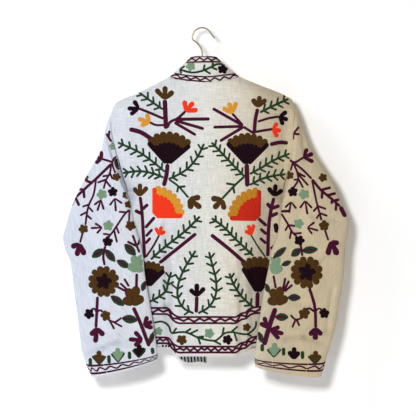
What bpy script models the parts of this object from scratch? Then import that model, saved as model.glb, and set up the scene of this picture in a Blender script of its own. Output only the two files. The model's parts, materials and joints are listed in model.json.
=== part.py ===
"""An embroidered suzani jacket hanging on a slim clothes hanger, seen from its back.

The origin is the underside of the hook's crown. +Z is up, +X is to the right of someone who
looks at the jacket's back, and -Y points from the back panel towards that viewer.
Every cut piece of cloth is a thin wall: an open surface worked out from the sizes and tables
below, thickened inwards.
"""

import functools
import math

import bmesh
import bpy
import numpy as np
from mathutils import kdtree

MM = 0.001

# Cloth
WALL = 2.0 * MM
FACING_WALL = 1.0 * MM
SEAM_GAP = 0.3 * MM

# Heights of the body, measured down from the hook's crown
UNDERARM_Z = -375.0 * MM
NECK_DROP = 14.5 * MM
NECK_POINT_LEFT = (-76.0 * MM, -111.5 * MM)
NECK_POINT_RIGHT = (87.0 * MM, -111.0 * MM)
BACK_NECK_DEPTH = 30.0 * MM

# Collar: its free edge is a small oval above the neck
COLLAR_TOP_LEFT = -26.5 * MM
COLLAR_TOP_RIGHT = 34.0 * MM
COLLAR_TOP_DEPTH = 24.0 * MM
COLLAR_TOP_Z = -66.0 * MM
COLLAR_TOP_RISE = 1.5 * MM
COLLAR_BOW = 2.0 * MM

# Body depth
ARMHOLE_DEPTH_BACK = 24.0 * MM
ARMHOLE_DEPTH_FRONT = 20.0 * MM
SHOULDER_ROUNDING = 35.0 * MM
SIDE_ROUNDING = 60.0 * MM
SIDE_SEAM_Y = 4.0 * MM
SIDE_SEAM_RUN = 80.0 * MM

# Facets of the panels
NECK_COLUMNS = 10
SHOULDER_COLUMNS = 10
ARMHOLE_ROWS = 11
SIDE_ROWS = 11
SLEEVE_ROWS = 24
BAND_COLUMNS = 4
FACING_ROWS = 3
FACING_COLUMNS = 14

# Hanger
WIRE_RADIUS = 1.75 * MM
HOOK_RADIUS = 22.0 * MM
BAR_THICKNESS = 5.0 * MM
BAR_CLEARANCE = 4.0 * MM
BAR_CENTRE_Z = -98.0 * MM
BAR_LEFT = -188.0 * MM
BAR_RIGHT = 196.0 * MM
BAR_HEIGHT_CENTRE = 18.0 * MM
BAR_HEIGHT_TIP = 9.0 * MM
BAR_STATIONS = 9

# The hook's stem from the bar to the round crown: x, z in mm
HOOK_STEM = (
    (0.0, -97.7),
    (0.0, -70.0),
    (0.0, -52.0),
    (-2.5, -45.0),
    (-8.5, -36.5),
    (-15.5, -29.5),
)
# The crown's arc, in degrees from +X, and the hook's free end: x, z in mm
HOOK_ARC = (195, 30, -15)
HOOK_END = (
    (24.5, -17.0),
    (29.5, -22.5),
)

# Shoulder seams from the neck point to the top of the armhole: x, z in mm
SHOULDER_LEFT = (
    (-76.0, -111.5),
    (-115.0, -131.8),
    (-152.0, -150.5),
    (-185.0, -163.5),
    (-202.0, -176.0),
    (-211.0, -197.0),
)
SHOULDER_RIGHT = (
    (87.0, -111.0),
    (127.0, -127.5),
    (159.0, -140.0),
    (195.0, -156.0),
    (209.0, -166.0),
    (216.0, -180.0),
)

# Side edge of the body, down the armhole seam and then the side seam: z, left x, right x in mm
SIDES = (
    (-180.0, -211.0, 216.0),
    (-197.0, -211.0, 213.5),
    (-245.0, -206.0, 208.0),
    (-280.0, -197.0, 203.5),
    (-322.0, -186.5, 196.5),
    (-346.0, -180.0, 192.0),
    (-375.0, -172.0, 188.0),
    (-398.0, -185.0, 200.0),
    (-430.0, -200.0, 214.0),
    (-480.0, -213.0, 226.0),
    (-560.0, -223.0, 235.0),
    (-760.0, -235.0, 246.0),
)

# Distance of the cloth from the hanger's plane at the middle: z, back, front in mm
DEPTHS = (
    (-110.0, 27.0, 20.0),
    (-160.0, 26.0, 22.0),
    (-250.0, 28.0, 24.0),
    (-375.0, 32.0, 26.0),
    (-520.0, 38.0, 27.0),
    (-760.0, 42.0, 29.0),
)

# Soft steps where the back turns away behind a sleeve, a row for each: x where it starts, x where it ends,
# depth and lift of the hem in mm
BACK_STEPS = (
    (-56.0, -82.0, 21.0, 20.0),
    (76.0, 94.0, 9.0, 9.0),
    (98.0, 118.0, 9.0, 13.0),
)
STEP_TOP_Z = -400.0 * MM
STEP_FULL_Z = -600.0 * MM

# Heights between which the back lies tucked in under the sleeve's fold, below the underarm
TUCK_RISE = (-315.0 * MM, -378.0 * MM)
TUCK_FALL = (-410.0 * MM, -460.0 * MM)

BACK_HEM_Z = -752.0 * MM

# Hem of the fronts: x, z in mm
HEM_FRONT_LEFT = (
    (-228.0, -732.0),
    (-100.0, -734.0),
    (-76.0, -733.5),
    (-63.0, -744.0),
    (-53.0, -758.0),
    (0.0, -769.0),
    (14.0, -771.5),
)
HEM_FRONT_RIGHT = (
    (16.0, -747.5),
    (87.0, -743.0),
    (110.0, -738.5),
    (232.0, -730.0),
)

# Front band, a row for each place on its seam: the seam's z and x, then the x, y and z of the free edge
# beside it, in mm
BAND_LEFT = (
    (-111.5, -76.0, -26.5, 0.0, -66.0),
    (-125.0, -72.5, -24.0, 9.0, -81.0),
    (-150.0, -67.0, -15.0, 22.0, -115.0),
    (-190.0, -61.0, -5.0, 27.0, -172.0),
    (-240.0, -57.5, 1.0, 28.0, -233.0),
    (-320.0, -56.0, 3.0, 28.5, -320.0),
    (-500.0, -53.5, 6.0, 29.0, -500.0),
    (-760.0, -49.0, 11.5, 31.0, -771.0),
)
BAND_RIGHT = (
    (-111.0, 87.0, 34.0, 0.0, -66.0),
    (-125.0, 83.5, 34.0, 9.0, -81.0),
    (-150.0, 78.0, 26.0, 22.0, -115.0),
    (-190.0, 72.0, 16.0, 27.0, -172.0),
    (-240.0, 68.5, 9.5, 28.0, -233.0),
    (-320.0, 68.0, 9.0, 28.5, -320.0),
    (-500.0, 71.0, 12.0, 29.0, -500.0),
    (-747.0, 78.0, 19.0, 31.0, -747.5),
)

# Sleeves, a row for each section from the armhole to the cuff: the outer fold's x, z and y, the inner
# fold's x, z and y, and half of the depth, in mm
SLEEVE_LEFT = (
    (-211.0, -197.0, 0.0, -172.0, -375.0, 0.0, 22.0),
    (-222.5, -231.0, -2.0, -174.0, -387.0, -18.0, 24.0),
    (-231.0, -276.0, -5.0, -164.0, -399.0, -23.0, 25.0),
    (-250.0, -312.0, -8.0, -161.0, -416.0, -26.0, 24.0),
    (-276.0, -359.0, -11.0, -156.0, -440.0, -29.0, 22.0),
    (-299.0, -409.0, -14.0, -149.0, -462.0, -31.0, 20.0),
    (-311.0, -450.0, -17.0, -142.0, -487.0, -33.0, 18.0),
    (-318.5, -480.0, -19.0, -137.0, -508.0, -34.0, 16.0),
    (-314.0, -506.0, -20.0, -133.5, -530.0, -34.0, 15.0),
    (-301.0, -540.0, -21.0, -131.0, -560.0, -34.0, 15.0),
    (-293.0, -604.0, -22.0, -123.0, -608.0, -34.0, 14.0),
    (-285.0, -659.0, -23.0, -114.0, -662.0, -35.0, 14.0),
    (-280.0, -704.0, -24.0, -107.5, -704.0, -36.0, 14.0),
    (-273.0, -748.0, -25.0, -102.5, -735.0, -37.0, 14.0),
    (-253.0, -796.0, -27.0, -102.0, -756.0, -39.0, 15.0),
)
SLEEVE_RIGHT = (
    (216.0, -180.0, 0.0, 188.0, -375.0, 0.0, 22.0),
    (226.5, -211.0, -2.0, 189.5, -387.0, -18.0, 24.0),
    (237.5, -245.0, -5.0, 183.0, -401.0, -23.0, 25.0),
    (252.0, -277.0, -8.0, 181.0, -420.0, -26.0, 24.0),
    (278.0, -318.0, -11.0, 178.0, -440.0, -29.0, 22.0),
    (302.0, -355.0, -14.0, 174.5, -463.0, -31.0, 20.0),
    (320.0, -400.0, -17.0, 169.0, -484.0, -33.0, 18.0),
    (334.0, -433.0, -19.0, 161.5, -503.0, -34.0, 16.0),
    (335.0, -463.0, -20.0, 156.5, -522.0, -34.0, 15.0),
    (328.0, -508.0, -21.0, 152.5, -547.0, -34.0, 15.0),
    (325.0, -565.0, -22.0, 145.0, -584.0, -34.0, 14.0),
    (315.0, -626.0, -23.0, 135.5, -640.0, -35.0, 14.0),
    (305.0, -688.0, -24.0, 128.5, -694.0, -36.0, 14.0),
    (289.0, -742.0, -25.0, 121.5, -742.0, -37.0, 14.0),
    (273.0, -796.0, -27.0, 121.0, -772.0, -39.0, 15.0),
)
SLEEVE_HEAD_REACH = 0.16
SLEEVE_CLEARANCE = 3.5 * MM
SLEEVE_CLEAR_REACH = 0.04
SLEEVE_SEAM_FREEDOM = 40.0 * MM
SLEEVE_FULLNESS = 0.75
CUFF_BOW = 9.0 * MM
CUFF_BOW_REACH = 0.22

# Behind a sleeve the body rounds away past its side, and stops above the underarm
SIDE_FALL_AWAY = 12.0 * MM
UNDERARM_ROOM = 60.0 * MM
UNDERARM_ROOM_RUN = 14.0 * MM

# Soft hollows that hang in the cloth, a row for each: x and z of its two ends, width and depth in mm
BACK_HOLLOWS = (
    (-142.0, -330.0, -112.0, -560.0, 26.0, 5.0),
    (158.0, -320.0, 132.0, -600.0, 26.0, 5.0),
    (20.0, -470.0, 12.0, -720.0, 30.0, 4.0),
)
FRONT_HOLLOWS = (
    (-150.0, -300.0, -128.0, -735.0, 26.0, 7.0),
    (-98.0, -420.0, -92.0, -745.0, 22.0, 4.0),
    (155.0, -330.0, 142.0, -735.0, 28.0, 6.0),
)
SLEEVE_HOLLOWS = (
    (-306.0, -470.0, -232.0, -508.0, 22.0, 6.0),
    (-272.0, -560.0, -246.0, -720.0, 24.0, 4.0),
    (-214.0, -400.0, -186.0, -560.0, 22.0, 3.0),
    (322.0, -452.0, 250.0, -500.0, 22.0, 6.0),
    (296.0, -560.0, 262.0, -715.0, 24.0, 4.0),
    (224.0, -400.0, 204.0, -575.0, 22.0, 3.0),
)

# Striped facing inside the hem of the left front
FACING_HEIGHT = 58.0 * MM
FACING_SIDE_X = -205.0 * MM
FACING_HEM_MARGIN = 0.5 * MM
FACING_EDGE_MARGIN = 1.5 * MM

# Plain colours of the finishes
CREAM = (0.80, 0.77, 0.70)
CREAM_BAND = (0.78, 0.75, 0.68)
STRIPE_GREY = (0.35, 0.35, 0.36)
CHAMPAGNE = (0.60, 0.56, 0.42)
BAR_COLOUR = (0.55, 0.50, 0.42)


def column(table, index):
    return np.array([row[index] for row in table]) * MM


def through(knots, values, at):
    """A smooth curve through the values at the knots, held level past both ends."""
    if knots[0] > knots[-1]:
        knots, values = knots[::-1], values[::-1]
    slopes = np.gradient(values, knots)
    at = np.clip(at, knots[0], knots[-1])
    i = np.clip(np.searchsorted(knots, at, side="right") - 1, 0, len(knots) - 2)
    span = knots[i + 1] - knots[i]
    f = (at - knots[i]) / span
    start = values[i] * (1 + 2 * f) * (1 - f) ** 2 + span * slopes[i] * f * (1 - f) ** 2
    end = values[i + 1] * f * f * (3 - 2 * f) + span * slopes[i + 1] * f * f * (f - 1)
    return start + end


def ease(start, end, at):
    """0 before start, 1 after end, with a smooth rise between them. The end may be the smaller one."""
    f = np.clip((at - start) / (end - start), 0.0, 1.0)
    return f * f * (3 - 2 * f)


def quarter(f):
    """The rise of a quarter of an ellipse, from 0 at its edge to 1 at its crown."""
    f = np.clip(f, 0.0, 1.0)
    return np.sqrt(1 - (1 - f) ** 2)


def hollow(x, z, table):
    """How deep the hollows of a table are at a place seen from the back."""
    total = 0.0
    for row in table:
        start_x, start_z, end_x, end_z, width, depth = (value * MM for value in row)
        run_x, run_z = end_x - start_x, end_z - start_z
        share = ((x - start_x) * run_x + (z - start_z) * run_z) / (run_x**2 + run_z**2)
        share = np.clip(share, 0.0, 1.0)
        away = np.hypot(x - start_x - share * run_x, z - start_z - share * run_z)
        total = total + depth * np.exp(-((away / width) ** 2))
    return total


def side_x(z, left):
    z = np.maximum(z, SIDES[-1][0] * MM)
    return through(column(SIDES, 0), column(SIDES, 1 if left else 2), z)


def tip_z(left):
    return (SHOULDER_LEFT if left else SHOULDER_RIGHT)[-1][1] * MM


def shoulder_z(x):
    """Height of the shoulder seam, and of a level neck between the two neck points."""
    left = through(column(SHOULDER_LEFT, 0), column(SHOULDER_LEFT, 1), x)
    right = through(column(SHOULDER_RIGHT, 0), column(SHOULDER_RIGHT, 1), x)
    return np.where(x < 0, left, right)


def neck_arc(x):
    """0 at the neck points and 1 at the centre back."""
    middle = (NECK_POINT_LEFT[0] + NECK_POINT_RIGHT[0]) / 2
    half = (NECK_POINT_RIGHT[0] - NECK_POINT_LEFT[0]) / 2
    return np.sqrt(np.clip(1 - ((x - middle) / half) ** 2, 0.0, 1.0))


def back_top_z(x):
    return shoulder_z(x) - NECK_DROP * neck_arc(x) ** 2


def armhole_depth(z, left):
    """0 at the armhole's top and at the underarm, and 1 half-way between them."""
    f = np.clip((tip_z(left) - z) / (tip_z(left) - UNDERARM_Z), 0.0, 1.0)
    return 2 * np.sqrt(f * (1 - f))


def side_seam_y(z):
    return SIDE_SEAM_Y * ease(UNDERARM_Z, UNDERARM_Z - SIDE_SEAM_RUN, z)


def from_side(x, z):
    """0 on the side edge of the body and 1 past the side's rounding."""
    inside = np.where(x < 0, x - side_x(z, True), side_x(z, False) - x)
    return quarter(inside / SIDE_ROUNDING)


def by_side(x, value):
    """The value for the left or for the right, by the sign of x."""
    return np.where(x < 0, value(True), value(False))


def step_share(x, z, index):
    """How far the steps of the back have gone at x: index 2 gives their depth and 3 the lift of the hem."""
    total = 0.0
    for step in BACK_STEPS:
        total = total + step[index] * MM * ease(step[0] * MM, step[1] * MM, x)
    return total * ease(STEP_TOP_Z, STEP_FULL_Z, z)


def back_y(x, z):
    flat = step_share(x, z, 2) - through(column(DEPTHS, 0), column(DEPTHS, 1), z)
    flat = flat + hollow(x, z, BACK_HOLLOWS)
    top = -BACK_NECK_DEPTH * neck_arc(x)
    inner = top + (flat - top) * quarter((back_top_z(x) - z) / SHOULDER_ROUNDING)
    edge = by_side(x, lambda left: -ARMHOLE_DEPTH_BACK * armhole_depth(z, left)) + side_seam_y(z)
    tucked = ease(*TUCK_RISE, z) * (1 - ease(*TUCK_FALL, z))
    share = from_side(x, z)
    share = share + (ease(0.0, 1.0, share * share) - share) * tucked
    return edge + (inner - edge) * share


def front_y(x, z):
    flat = through(column(DEPTHS, 0), column(DEPTHS, 2), z) - hollow(x, z, FRONT_HOLLOWS)
    inner = flat * quarter((shoulder_z(x) - z) / SHOULDER_ROUNDING)
    edge = by_side(x, lambda left: ARMHOLE_DEPTH_FRONT * armhole_depth(z, left)) + side_seam_y(z)
    share = from_side(x, z)
    return edge + (inner - edge) * share


def back_hem_z(x):
    return BACK_HEM_Z + step_share(x, BACK_HEM_Z, 3)


def side_hem_z(left):
    return back_hem_z((SIDES[-1][1] if left else SIDES[-1][2]) * MM)


def front_hem_z(x, left):
    table = HEM_FRONT_LEFT if left else HEM_FRONT_RIGHT
    return through(column(table, 0), column(table, 1), x)


def fall(down, top, hem):
    """Height of a row: the upper half of the rows reaches the underarm, the lower half the hem."""
    upper = (1 - np.cos(2 * np.pi * np.minimum(down, 0.5))) / 2
    lower = np.clip(2 * down - 1, 0.0, 1.0)
    return top + (UNDERARM_Z - top) * upper + (hem - UNDERARM_Z) * lower


def side_row_z(down, left):
    """Height of a row on the side edge, where the back and a front meet."""
    return fall(down, tip_z(left), side_hem_z(left))


def back_share(across):
    """0 to 1 over the left shoulder's columns, to 2 over the neck's and to 3 over the right shoulder's."""
    column_ends = np.cumsum([0, SHOULDER_COLUMNS, NECK_COLUMNS, SHOULDER_COLUMNS])
    return np.interp(across * column_ends[-1], column_ends, range(4))


def back_panel(across, down):
    share = back_share(across)
    neck_middle = (NECK_POINT_LEFT[0] + NECK_POINT_RIGHT[0]) / 2
    neck_half = (NECK_POINT_RIGHT[0] - NECK_POINT_LEFT[0]) / 2
    neck_x = neck_middle - neck_half * np.cos(np.pi * np.clip(share - 1, 0.0, 1.0))

    def spread(left_x, right_x):
        left = left_x + (NECK_POINT_LEFT[0] - left_x) * np.minimum(share, 1.0)
        right = NECK_POINT_RIGHT[0] + (right_x - NECK_POINT_RIGHT[0]) * np.clip(share - 2, 0.0, 1.0)
        return np.where(share <= 1, left, np.where(share < 2, neck_x, right))

    top_x = spread(SHOULDER_LEFT[-1][0] * MM, SHOULDER_RIGHT[-1][0] * MM)
    x = spread(side_x(side_row_z(down, True), True), side_x(side_row_z(down, False), False))
    foot_x = spread(side_x(side_row_z(1.0, True), True), side_x(side_row_z(1.0, False), False))
    z = fall(down, back_top_z(top_x), back_hem_z(foot_x))
    return x, back_y(x, z), z


def band_table(left):
    return BAND_LEFT if left else BAND_RIGHT


def band_seam_x(z, left):
    table = band_table(left)
    return through(column(table, 0), column(table, 1), z)


def front_seam_z(down, left):
    point = NECK_POINT_LEFT if left else NECK_POINT_RIGHT
    hem = front_hem_z(band_seam_x(BACK_HEM_Z, left), left)
    return fall(down, point[1], hem)


def front_panel(across, down, left):
    """Across runs from the band's seam to the armhole and the side."""
    point = NECK_POINT_LEFT if left else NECK_POINT_RIGHT
    tip_x = (SHOULDER_LEFT if left else SHOULDER_RIGHT)[-1][0] * MM
    top_x = point[0] + (tip_x - point[0]) * across
    inner_x = band_seam_x(front_seam_z(down, left), left)
    outer_x = side_x(side_row_z(down, left), left)
    x = inner_x + (outer_x - inner_x) * across
    foot_inner_x = band_seam_x(front_seam_z(1.0, left), left)
    foot_x = foot_inner_x + (side_x(side_row_z(1.0, left), left) - foot_inner_x) * across
    z = fall(down, shoulder_z(top_x), front_hem_z(foot_x, left))
    return x, front_y(x, z), z


def front_band(across, down, left):
    """Across runs from the seam with the front to the free edge."""
    table = band_table(left)
    seam_z = front_seam_z(down, left)
    seam_x = band_seam_x(seam_z, left)
    seam_y = front_y(seam_x, seam_z)
    knots = column(table, 0)
    free_x = through(knots, column(table, 2), seam_z)
    free_y = through(knots, column(table, 3), seam_z)
    free_z = through(knots, column(table, 4), seam_z)
    x = seam_x + (free_x - seam_x) * across
    y = seam_y + (free_y - seam_y) * across + COLLAR_BOW * np.sin(np.pi * across) * ease(0.0, 0.2, down)
    z = seam_z + (free_z - seam_z) * across
    return x, y, z


def collar(across, up):
    """The stand round the back of the neck, across from the left neck point to the right one."""
    turn = np.pi * across
    middle = (NECK_POINT_LEFT[0] + NECK_POINT_RIGHT[0]) / 2
    half = (NECK_POINT_RIGHT[0] - NECK_POINT_LEFT[0]) / 2
    low_x = middle - half * np.cos(turn)
    low_y = -BACK_NECK_DEPTH * np.sin(turn)
    low_z = back_top_z(low_x)
    top_middle = (COLLAR_TOP_LEFT + COLLAR_TOP_RIGHT) / 2
    top_half = (COLLAR_TOP_RIGHT - COLLAR_TOP_LEFT) / 2
    top_x = top_middle - top_half * np.cos(turn)
    top_y = -COLLAR_TOP_DEPTH * np.sin(turn)
    top_z = COLLAR_TOP_Z + COLLAR_TOP_RISE * np.sin(turn)
    bow = COLLAR_BOW * np.sin(np.pi * up)
    x = low_x + (top_x - low_x) * up
    y = low_y + (top_y - low_y) * up - bow * np.sin(turn)
    z = low_z + (top_z - low_z) * up
    return x, y, z


def body_face_y(x, z):
    """Where the body's back lies behind a sleeve, falling away past the side seam and above the underarm."""
    left, right = side_x(z, True), side_x(z, False)
    past = np.maximum(np.maximum(left - x, x - right), 0.0)
    inside = np.clip(x, left, right)
    fall_away = past * past / SIDE_FALL_AWAY
    room = UNDERARM_ROOM * ease(UNDERARM_Z, UNDERARM_Z + UNDERARM_ROOM_RUN, z)
    return back_y(inside, z) + fall_away + room


def sleeve(around, along, left):
    """Around starts at the outer fold, crosses the viewer's side, and returns behind from the inner fold."""
    table = SLEEVE_LEFT if left else SLEEVE_RIGHT
    knots = np.linspace(0.0, 1.0, len(table))
    outer_x, outer_z, outer_y, inner_x, inner_z, inner_y, half = (
        through(knots, column(table, i), along) for i in range(7)
    )
    turn = 2 * np.pi * around
    share = (1 - np.cos(turn)) / 2
    rise = np.abs(np.sin(turn)) ** SLEEVE_FULLNESS
    near = around <= 0.5
    x = outer_x + (inner_x - outer_x) * share
    z = outer_z + (inner_z - outer_z) * share
    middle = outer_y + (inner_y - outer_y) * share
    z = z - CUFF_BOW * np.where(near, rise, 0.3 * rise) * ease(1 - CUFF_BOW_REACH, 1.0, along)
    kept_clear = ease(0.0, SLEEVE_CLEAR_REACH, along)
    freedom = (SLEEVE_SEAM_FREEDOM + SLEEVE_CLEARANCE) * (1 - kept_clear) - SLEEVE_CLEARANCE
    behind = np.minimum(middle + half * rise, body_face_y(x, z) + freedom)
    sunk = hollow(x, z, SLEEVE_HOLLOWS) * rise
    y = np.where(near, middle - half * rise + sunk, np.maximum(behind - sunk, middle - half * rise * 0.5))

    seam_z = tip_z(left) + (UNDERARM_Z - tip_z(left)) * share
    seam_x = side_x(seam_z, left)
    depth = np.where(near, -ARMHOLE_DEPTH_BACK, ARMHOLE_DEPTH_FRONT)
    seam_y = depth * armhole_depth(seam_z, left)
    head = 1 - ease(0.0, SLEEVE_HEAD_REACH, along)
    start_x, start_z = table[0][0] * MM, table[0][1] * MM
    end_x, end_z = table[0][3] * MM, table[0][4] * MM
    chord_x = start_x + (end_x - start_x) * share
    chord_z = start_z + (end_z - start_z) * share
    chord_y = np.where(near, -1.0, 1.0) * table[0][6] * MM * rise
    x = x + (seam_x - chord_x) * head
    y = y + (seam_y - chord_y) * head
    z = z + (seam_z - chord_z) * head
    y = np.minimum(y, body_face_y(x, z) + freedom)
    return x, y, z


def hem_facing(across, up):
    """Strip inside the left front, from the band's free edge to the side, just off the cloth behind it."""
    free_x = BAND_LEFT[-1][2] * MM - FACING_EDGE_MARGIN
    x = free_x + (FACING_SIDE_X - free_x) * across
    z = front_hem_z(x, True) + FACING_HEM_MARGIN + FACING_HEIGHT * up
    seam = band_seam_x(z, True)
    share = np.clip((x - seam) / (free_x - seam), 0.0, 1.0)
    free_y = through(column(BAND_LEFT, 0), column(BAND_LEFT, 3), z)
    on_band = front_y(seam, z) + (free_y - front_y(seam, z)) * share
    carried = np.where(x > seam, on_band, front_y(x, z))
    return x, carried - WALL - 2 * SEAM_GAP, z


def collection(name, hidden=False):
    made = bpy.data.collections.new(name)
    made.hide_render = hidden
    bpy.context.scene.collection.children.link(made)
    return made


def material(name, colour, roughness, metallic=0.0):
    made = bpy.data.materials.new(name)
    made.use_nodes = True
    shader = made.node_tree.nodes["Principled BSDF"]
    shader.inputs["Base Color"].default_value = (*colour, 1.0)
    shader.inputs["Roughness"].default_value = roughness
    shader.inputs["Metallic"].default_value = metallic
    return made


class Piece:
    """One cut piece of cloth: a grid of points on its surface, and the directions away from its inside."""

    def __init__(self, name, surface, across, down, finish, wall=WALL, tube=False, flip=False):
        self.name, self.finish, self.wall, self.tube, self.flip = name, finish, wall, tube, flip
        columns, rows = np.linspace(0, 1, across + 1), np.linspace(0, 1, down + 1)
        u, v = np.meshgrid(columns, rows, indexing="ij")
        self.points = np.stack(surface(u, v), axis=-1)
        if tube:
            self.points = self.points[:-1]
        self.outward = self.face_sums()

    def next_column(self, grid):
        return np.roll(grid, -1, axis=0) if self.tube else grid[1:]

    def face_sums(self):
        """Area-weighted normals of the faces round each point."""
        near = self.points if self.tube else self.points[:-1]
        far = self.next_column(self.points)
        normal = np.cross(far[:, 1:] - near[:, :-1], near[:, 1:] - far[:, :-1])
        if self.flip:
            normal = -normal
        sums = np.zeros_like(self.points)
        sums[: len(normal), 1:] += normal
        sums[: len(normal), :-1] += normal
        beyond = np.roll(normal, 1, axis=0) if self.tube else normal
        first = 0 if self.tube else 1
        sums[first:, 1:] += beyond
        sums[first:, :-1] += beyond
        return sums

    def rim(self):
        """The indices of the points on the piece's edges."""
        columns, rows = self.points.shape[:2]
        for i in range(columns):
            for j in range(rows):
                on_side = not self.tube and i in (0, columns - 1)
                if on_side or j in (0, rows - 1):
                    yield i, j

    def trim(self, outer, inner):
        """Draws each edge back by half of the seam's gap, square to the seam."""
        moves = np.zeros_like(outer)
        sides = [((slice(None), 0), (slice(None), 1)), ((slice(None), -1), (slice(None), -2))]
        if not self.tube:
            sides += [((0, slice(None)), (1, slice(None))), ((-1, slice(None)), (-2, slice(None)))]
        for edge, inside in sides:
            line = outer[edge]
            if self.tube:
                along = np.roll(line, -1, axis=0) - np.roll(line, 1, axis=0)
            else:
                along = np.gradient(line, axis=0)
            along /= np.linalg.norm(along, axis=-1, keepdims=True)
            way = outer[inside] - line
            way -= np.sum(way * along, axis=-1, keepdims=True) * along
            moves[edge] += way / np.linalg.norm(way, axis=-1, keepdims=True) * SEAM_GAP / 2
        return outer + moves, inner + moves

    def build(self, home):
        lengths = np.linalg.norm(self.outward, axis=-1, keepdims=True)
        inner = self.points - self.outward / lengths * self.wall
        outer, inner = self.trim(self.points, inner)
        columns, rows = outer.shape[:2]
        sheet = bmesh.new()
        front = [[sheet.verts.new(point) for point in line] for line in outer]
        back = [[sheet.verts.new(point) for point in line] for line in inner]
        for i in range(columns if self.tube else columns - 1):
            k = (i + 1) % columns
            for j in range(rows - 1):
                sheet.faces.new((front[i][j], front[k][j], front[k][j + 1], front[i][j + 1]))
                sheet.faces.new((back[i][j + 1], back[k][j + 1], back[k][j], back[i][j]))
            sheet.faces.new((front[k][0], front[i][0], back[i][0], back[k][0]))
            sheet.faces.new((front[i][-1], front[k][-1], back[k][-1], back[i][-1]))
        if not self.tube:
            for j in range(rows - 1):
                sheet.faces.new((front[0][j], front[0][j + 1], back[0][j + 1], back[0][j]))
                sheet.faces.new((front[-1][j + 1], front[-1][j], back[-1][j], back[-1][j + 1]))
        if self.flip:
            bmesh.ops.reverse_faces(sheet, faces=sheet.faces)
        mesh = bpy.data.meshes.new(self.name)
        sheet.to_mesh(mesh)
        sheet.free()
        mesh.materials.append(self.finish)
        mesh.shade_smooth()
        mesh.set_sharp_from_angle(angle=math.radians(50))
        home.objects.link(bpy.data.objects.new(self.name, mesh))


def sew(pieces):
    """Where edges meet, gives the points one shared outward direction, so that the walls are mitred."""
    edges = [(piece, index) for piece in pieces for index in piece.rim()]
    tree = kdtree.KDTree(len(edges))
    for number, (piece, index) in enumerate(edges):
        tree.insert(piece.points[index], number)
    tree.balance()
    sums = []
    for piece, index in edges:
        met = tree.find_range(piece.points[index], SEAM_GAP / 2)
        sums.append(sum(unit(edges[number][0].outward[edges[number][1]]) for _, number, _ in met))
    for (piece, index), total in zip(edges, sums):
        piece.outward[index] = total
    for sleeve_piece in (piece for piece in pieces if piece.tube):
        armhole = sleeve_piece.points[:, 0]
        for point, away in zip(armhole, away_from_middle(armhole)):
            for _, number, _ in tree.find_range(point, SEAM_GAP / 2):
                piece, index = edges[number]
                piece.outward[index] = away


def away_from_middle(ring):
    """For each point of a nearly flat ring, the direction in its plane that leads squarely out of it."""
    half = len(ring) // 2
    axis = unit(np.cross(ring[0] - ring[half], (0.0, 1.0, 0.0)))
    away = np.cross(np.roll(ring, -1, axis=0) - np.roll(ring, 1, axis=0), axis)
    away *= np.sign(np.sum(away * (ring - ring.mean(axis=0)), axis=1, keepdims=True))
    return away / np.linalg.norm(away, axis=1, keepdims=True)


def unit(vector):
    return vector / np.linalg.norm(vector)


def poly_curve(name, points, finish, home, cyclic=False):
    curve = bpy.data.curves.new(name, "CURVE")
    spline = curve.splines.new("POLY")
    spline.points.add(len(points) - 1)
    for place, point in zip(spline.points, points):
        place.co = (*point, 1.0)
    spline.use_cyclic_u = cyclic
    curve.materials.append(finish)
    made = bpy.data.objects.new(name, curve)
    home.objects.link(made)
    return made


def hanger_hook(finish, home):
    """A wire that rises from the bar, swings to the left and crosses over to a free end on the right."""
    centre_z = WIRE_RADIUS - HOOK_RADIUS
    first, last, step = HOOK_ARC
    points = [(x * MM, z * MM) for x, z in HOOK_STEM]
    for degrees in range(first, last + step, step):
        angle = math.radians(degrees)
        points.append((HOOK_RADIUS * math.cos(angle), centre_z + HOOK_RADIUS * math.sin(angle)))
    points += [(x * MM, z * MM) for x, z in HOOK_END]
    hook = poly_curve("hanger_hook", [(x, 0.0, z) for x, z in points], finish, home)
    hook.data.dimensions = "3D"
    hook.data.bevel_depth = WIRE_RADIUS
    hook.data.bevel_resolution = 2
    hook.data.use_fill_caps = True
    return hook


def hanger_bar(finish, home):
    """A flat bar whose top edge lies just under the shoulder seams."""
    left = np.linspace(BAR_LEFT, NECK_POINT_LEFT[0], BAR_STATIONS)
    right = np.linspace(NECK_POINT_RIGHT[0], BAR_RIGHT, BAR_STATIONS)
    neck = np.linspace(NECK_POINT_LEFT[0], NECK_POINT_RIGHT[0], BAR_STATIONS)[1:-1]
    middle = (NECK_POINT_LEFT[0] + NECK_POINT_RIGHT[0]) / 2
    half = (NECK_POINT_RIGHT[0] - NECK_POINT_LEFT[0]) / 2
    seat = shoulder_z(NECK_POINT_LEFT[0]) - BAR_CLEARANCE
    arch = seat + (BAR_CENTRE_Z - seat) * np.cos((neck - middle) / half * np.pi / 2) ** 2
    xs = np.concatenate([left, neck, right])
    tops = np.concatenate([shoulder_z(left) - BAR_CLEARANCE, arch, shoulder_z(right) - BAR_CLEARANCE])
    reach = np.abs(xs) / max(-BAR_LEFT, BAR_RIGHT)
    heights = BAR_HEIGHT_CENTRE + (BAR_HEIGHT_TIP - BAR_HEIGHT_CENTRE) * reach
    outline = [(x, z) for x, z in zip(xs, tops)]
    outline += [(x, z - h) for x, z, h in zip(xs[::-1], tops[::-1], heights[::-1])]
    bar = poly_curve("hanger_bar", [(x, z, 0.0) for x, z in outline], finish, home, cyclic=True)
    bar.data.dimensions = "2D"
    bar.data.fill_mode = "BOTH"
    bar.data.extrude = BAR_THICKNESS / 2
    bar.rotation_euler = (math.pi / 2, 0.0, 0.0)
    return bar


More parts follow.
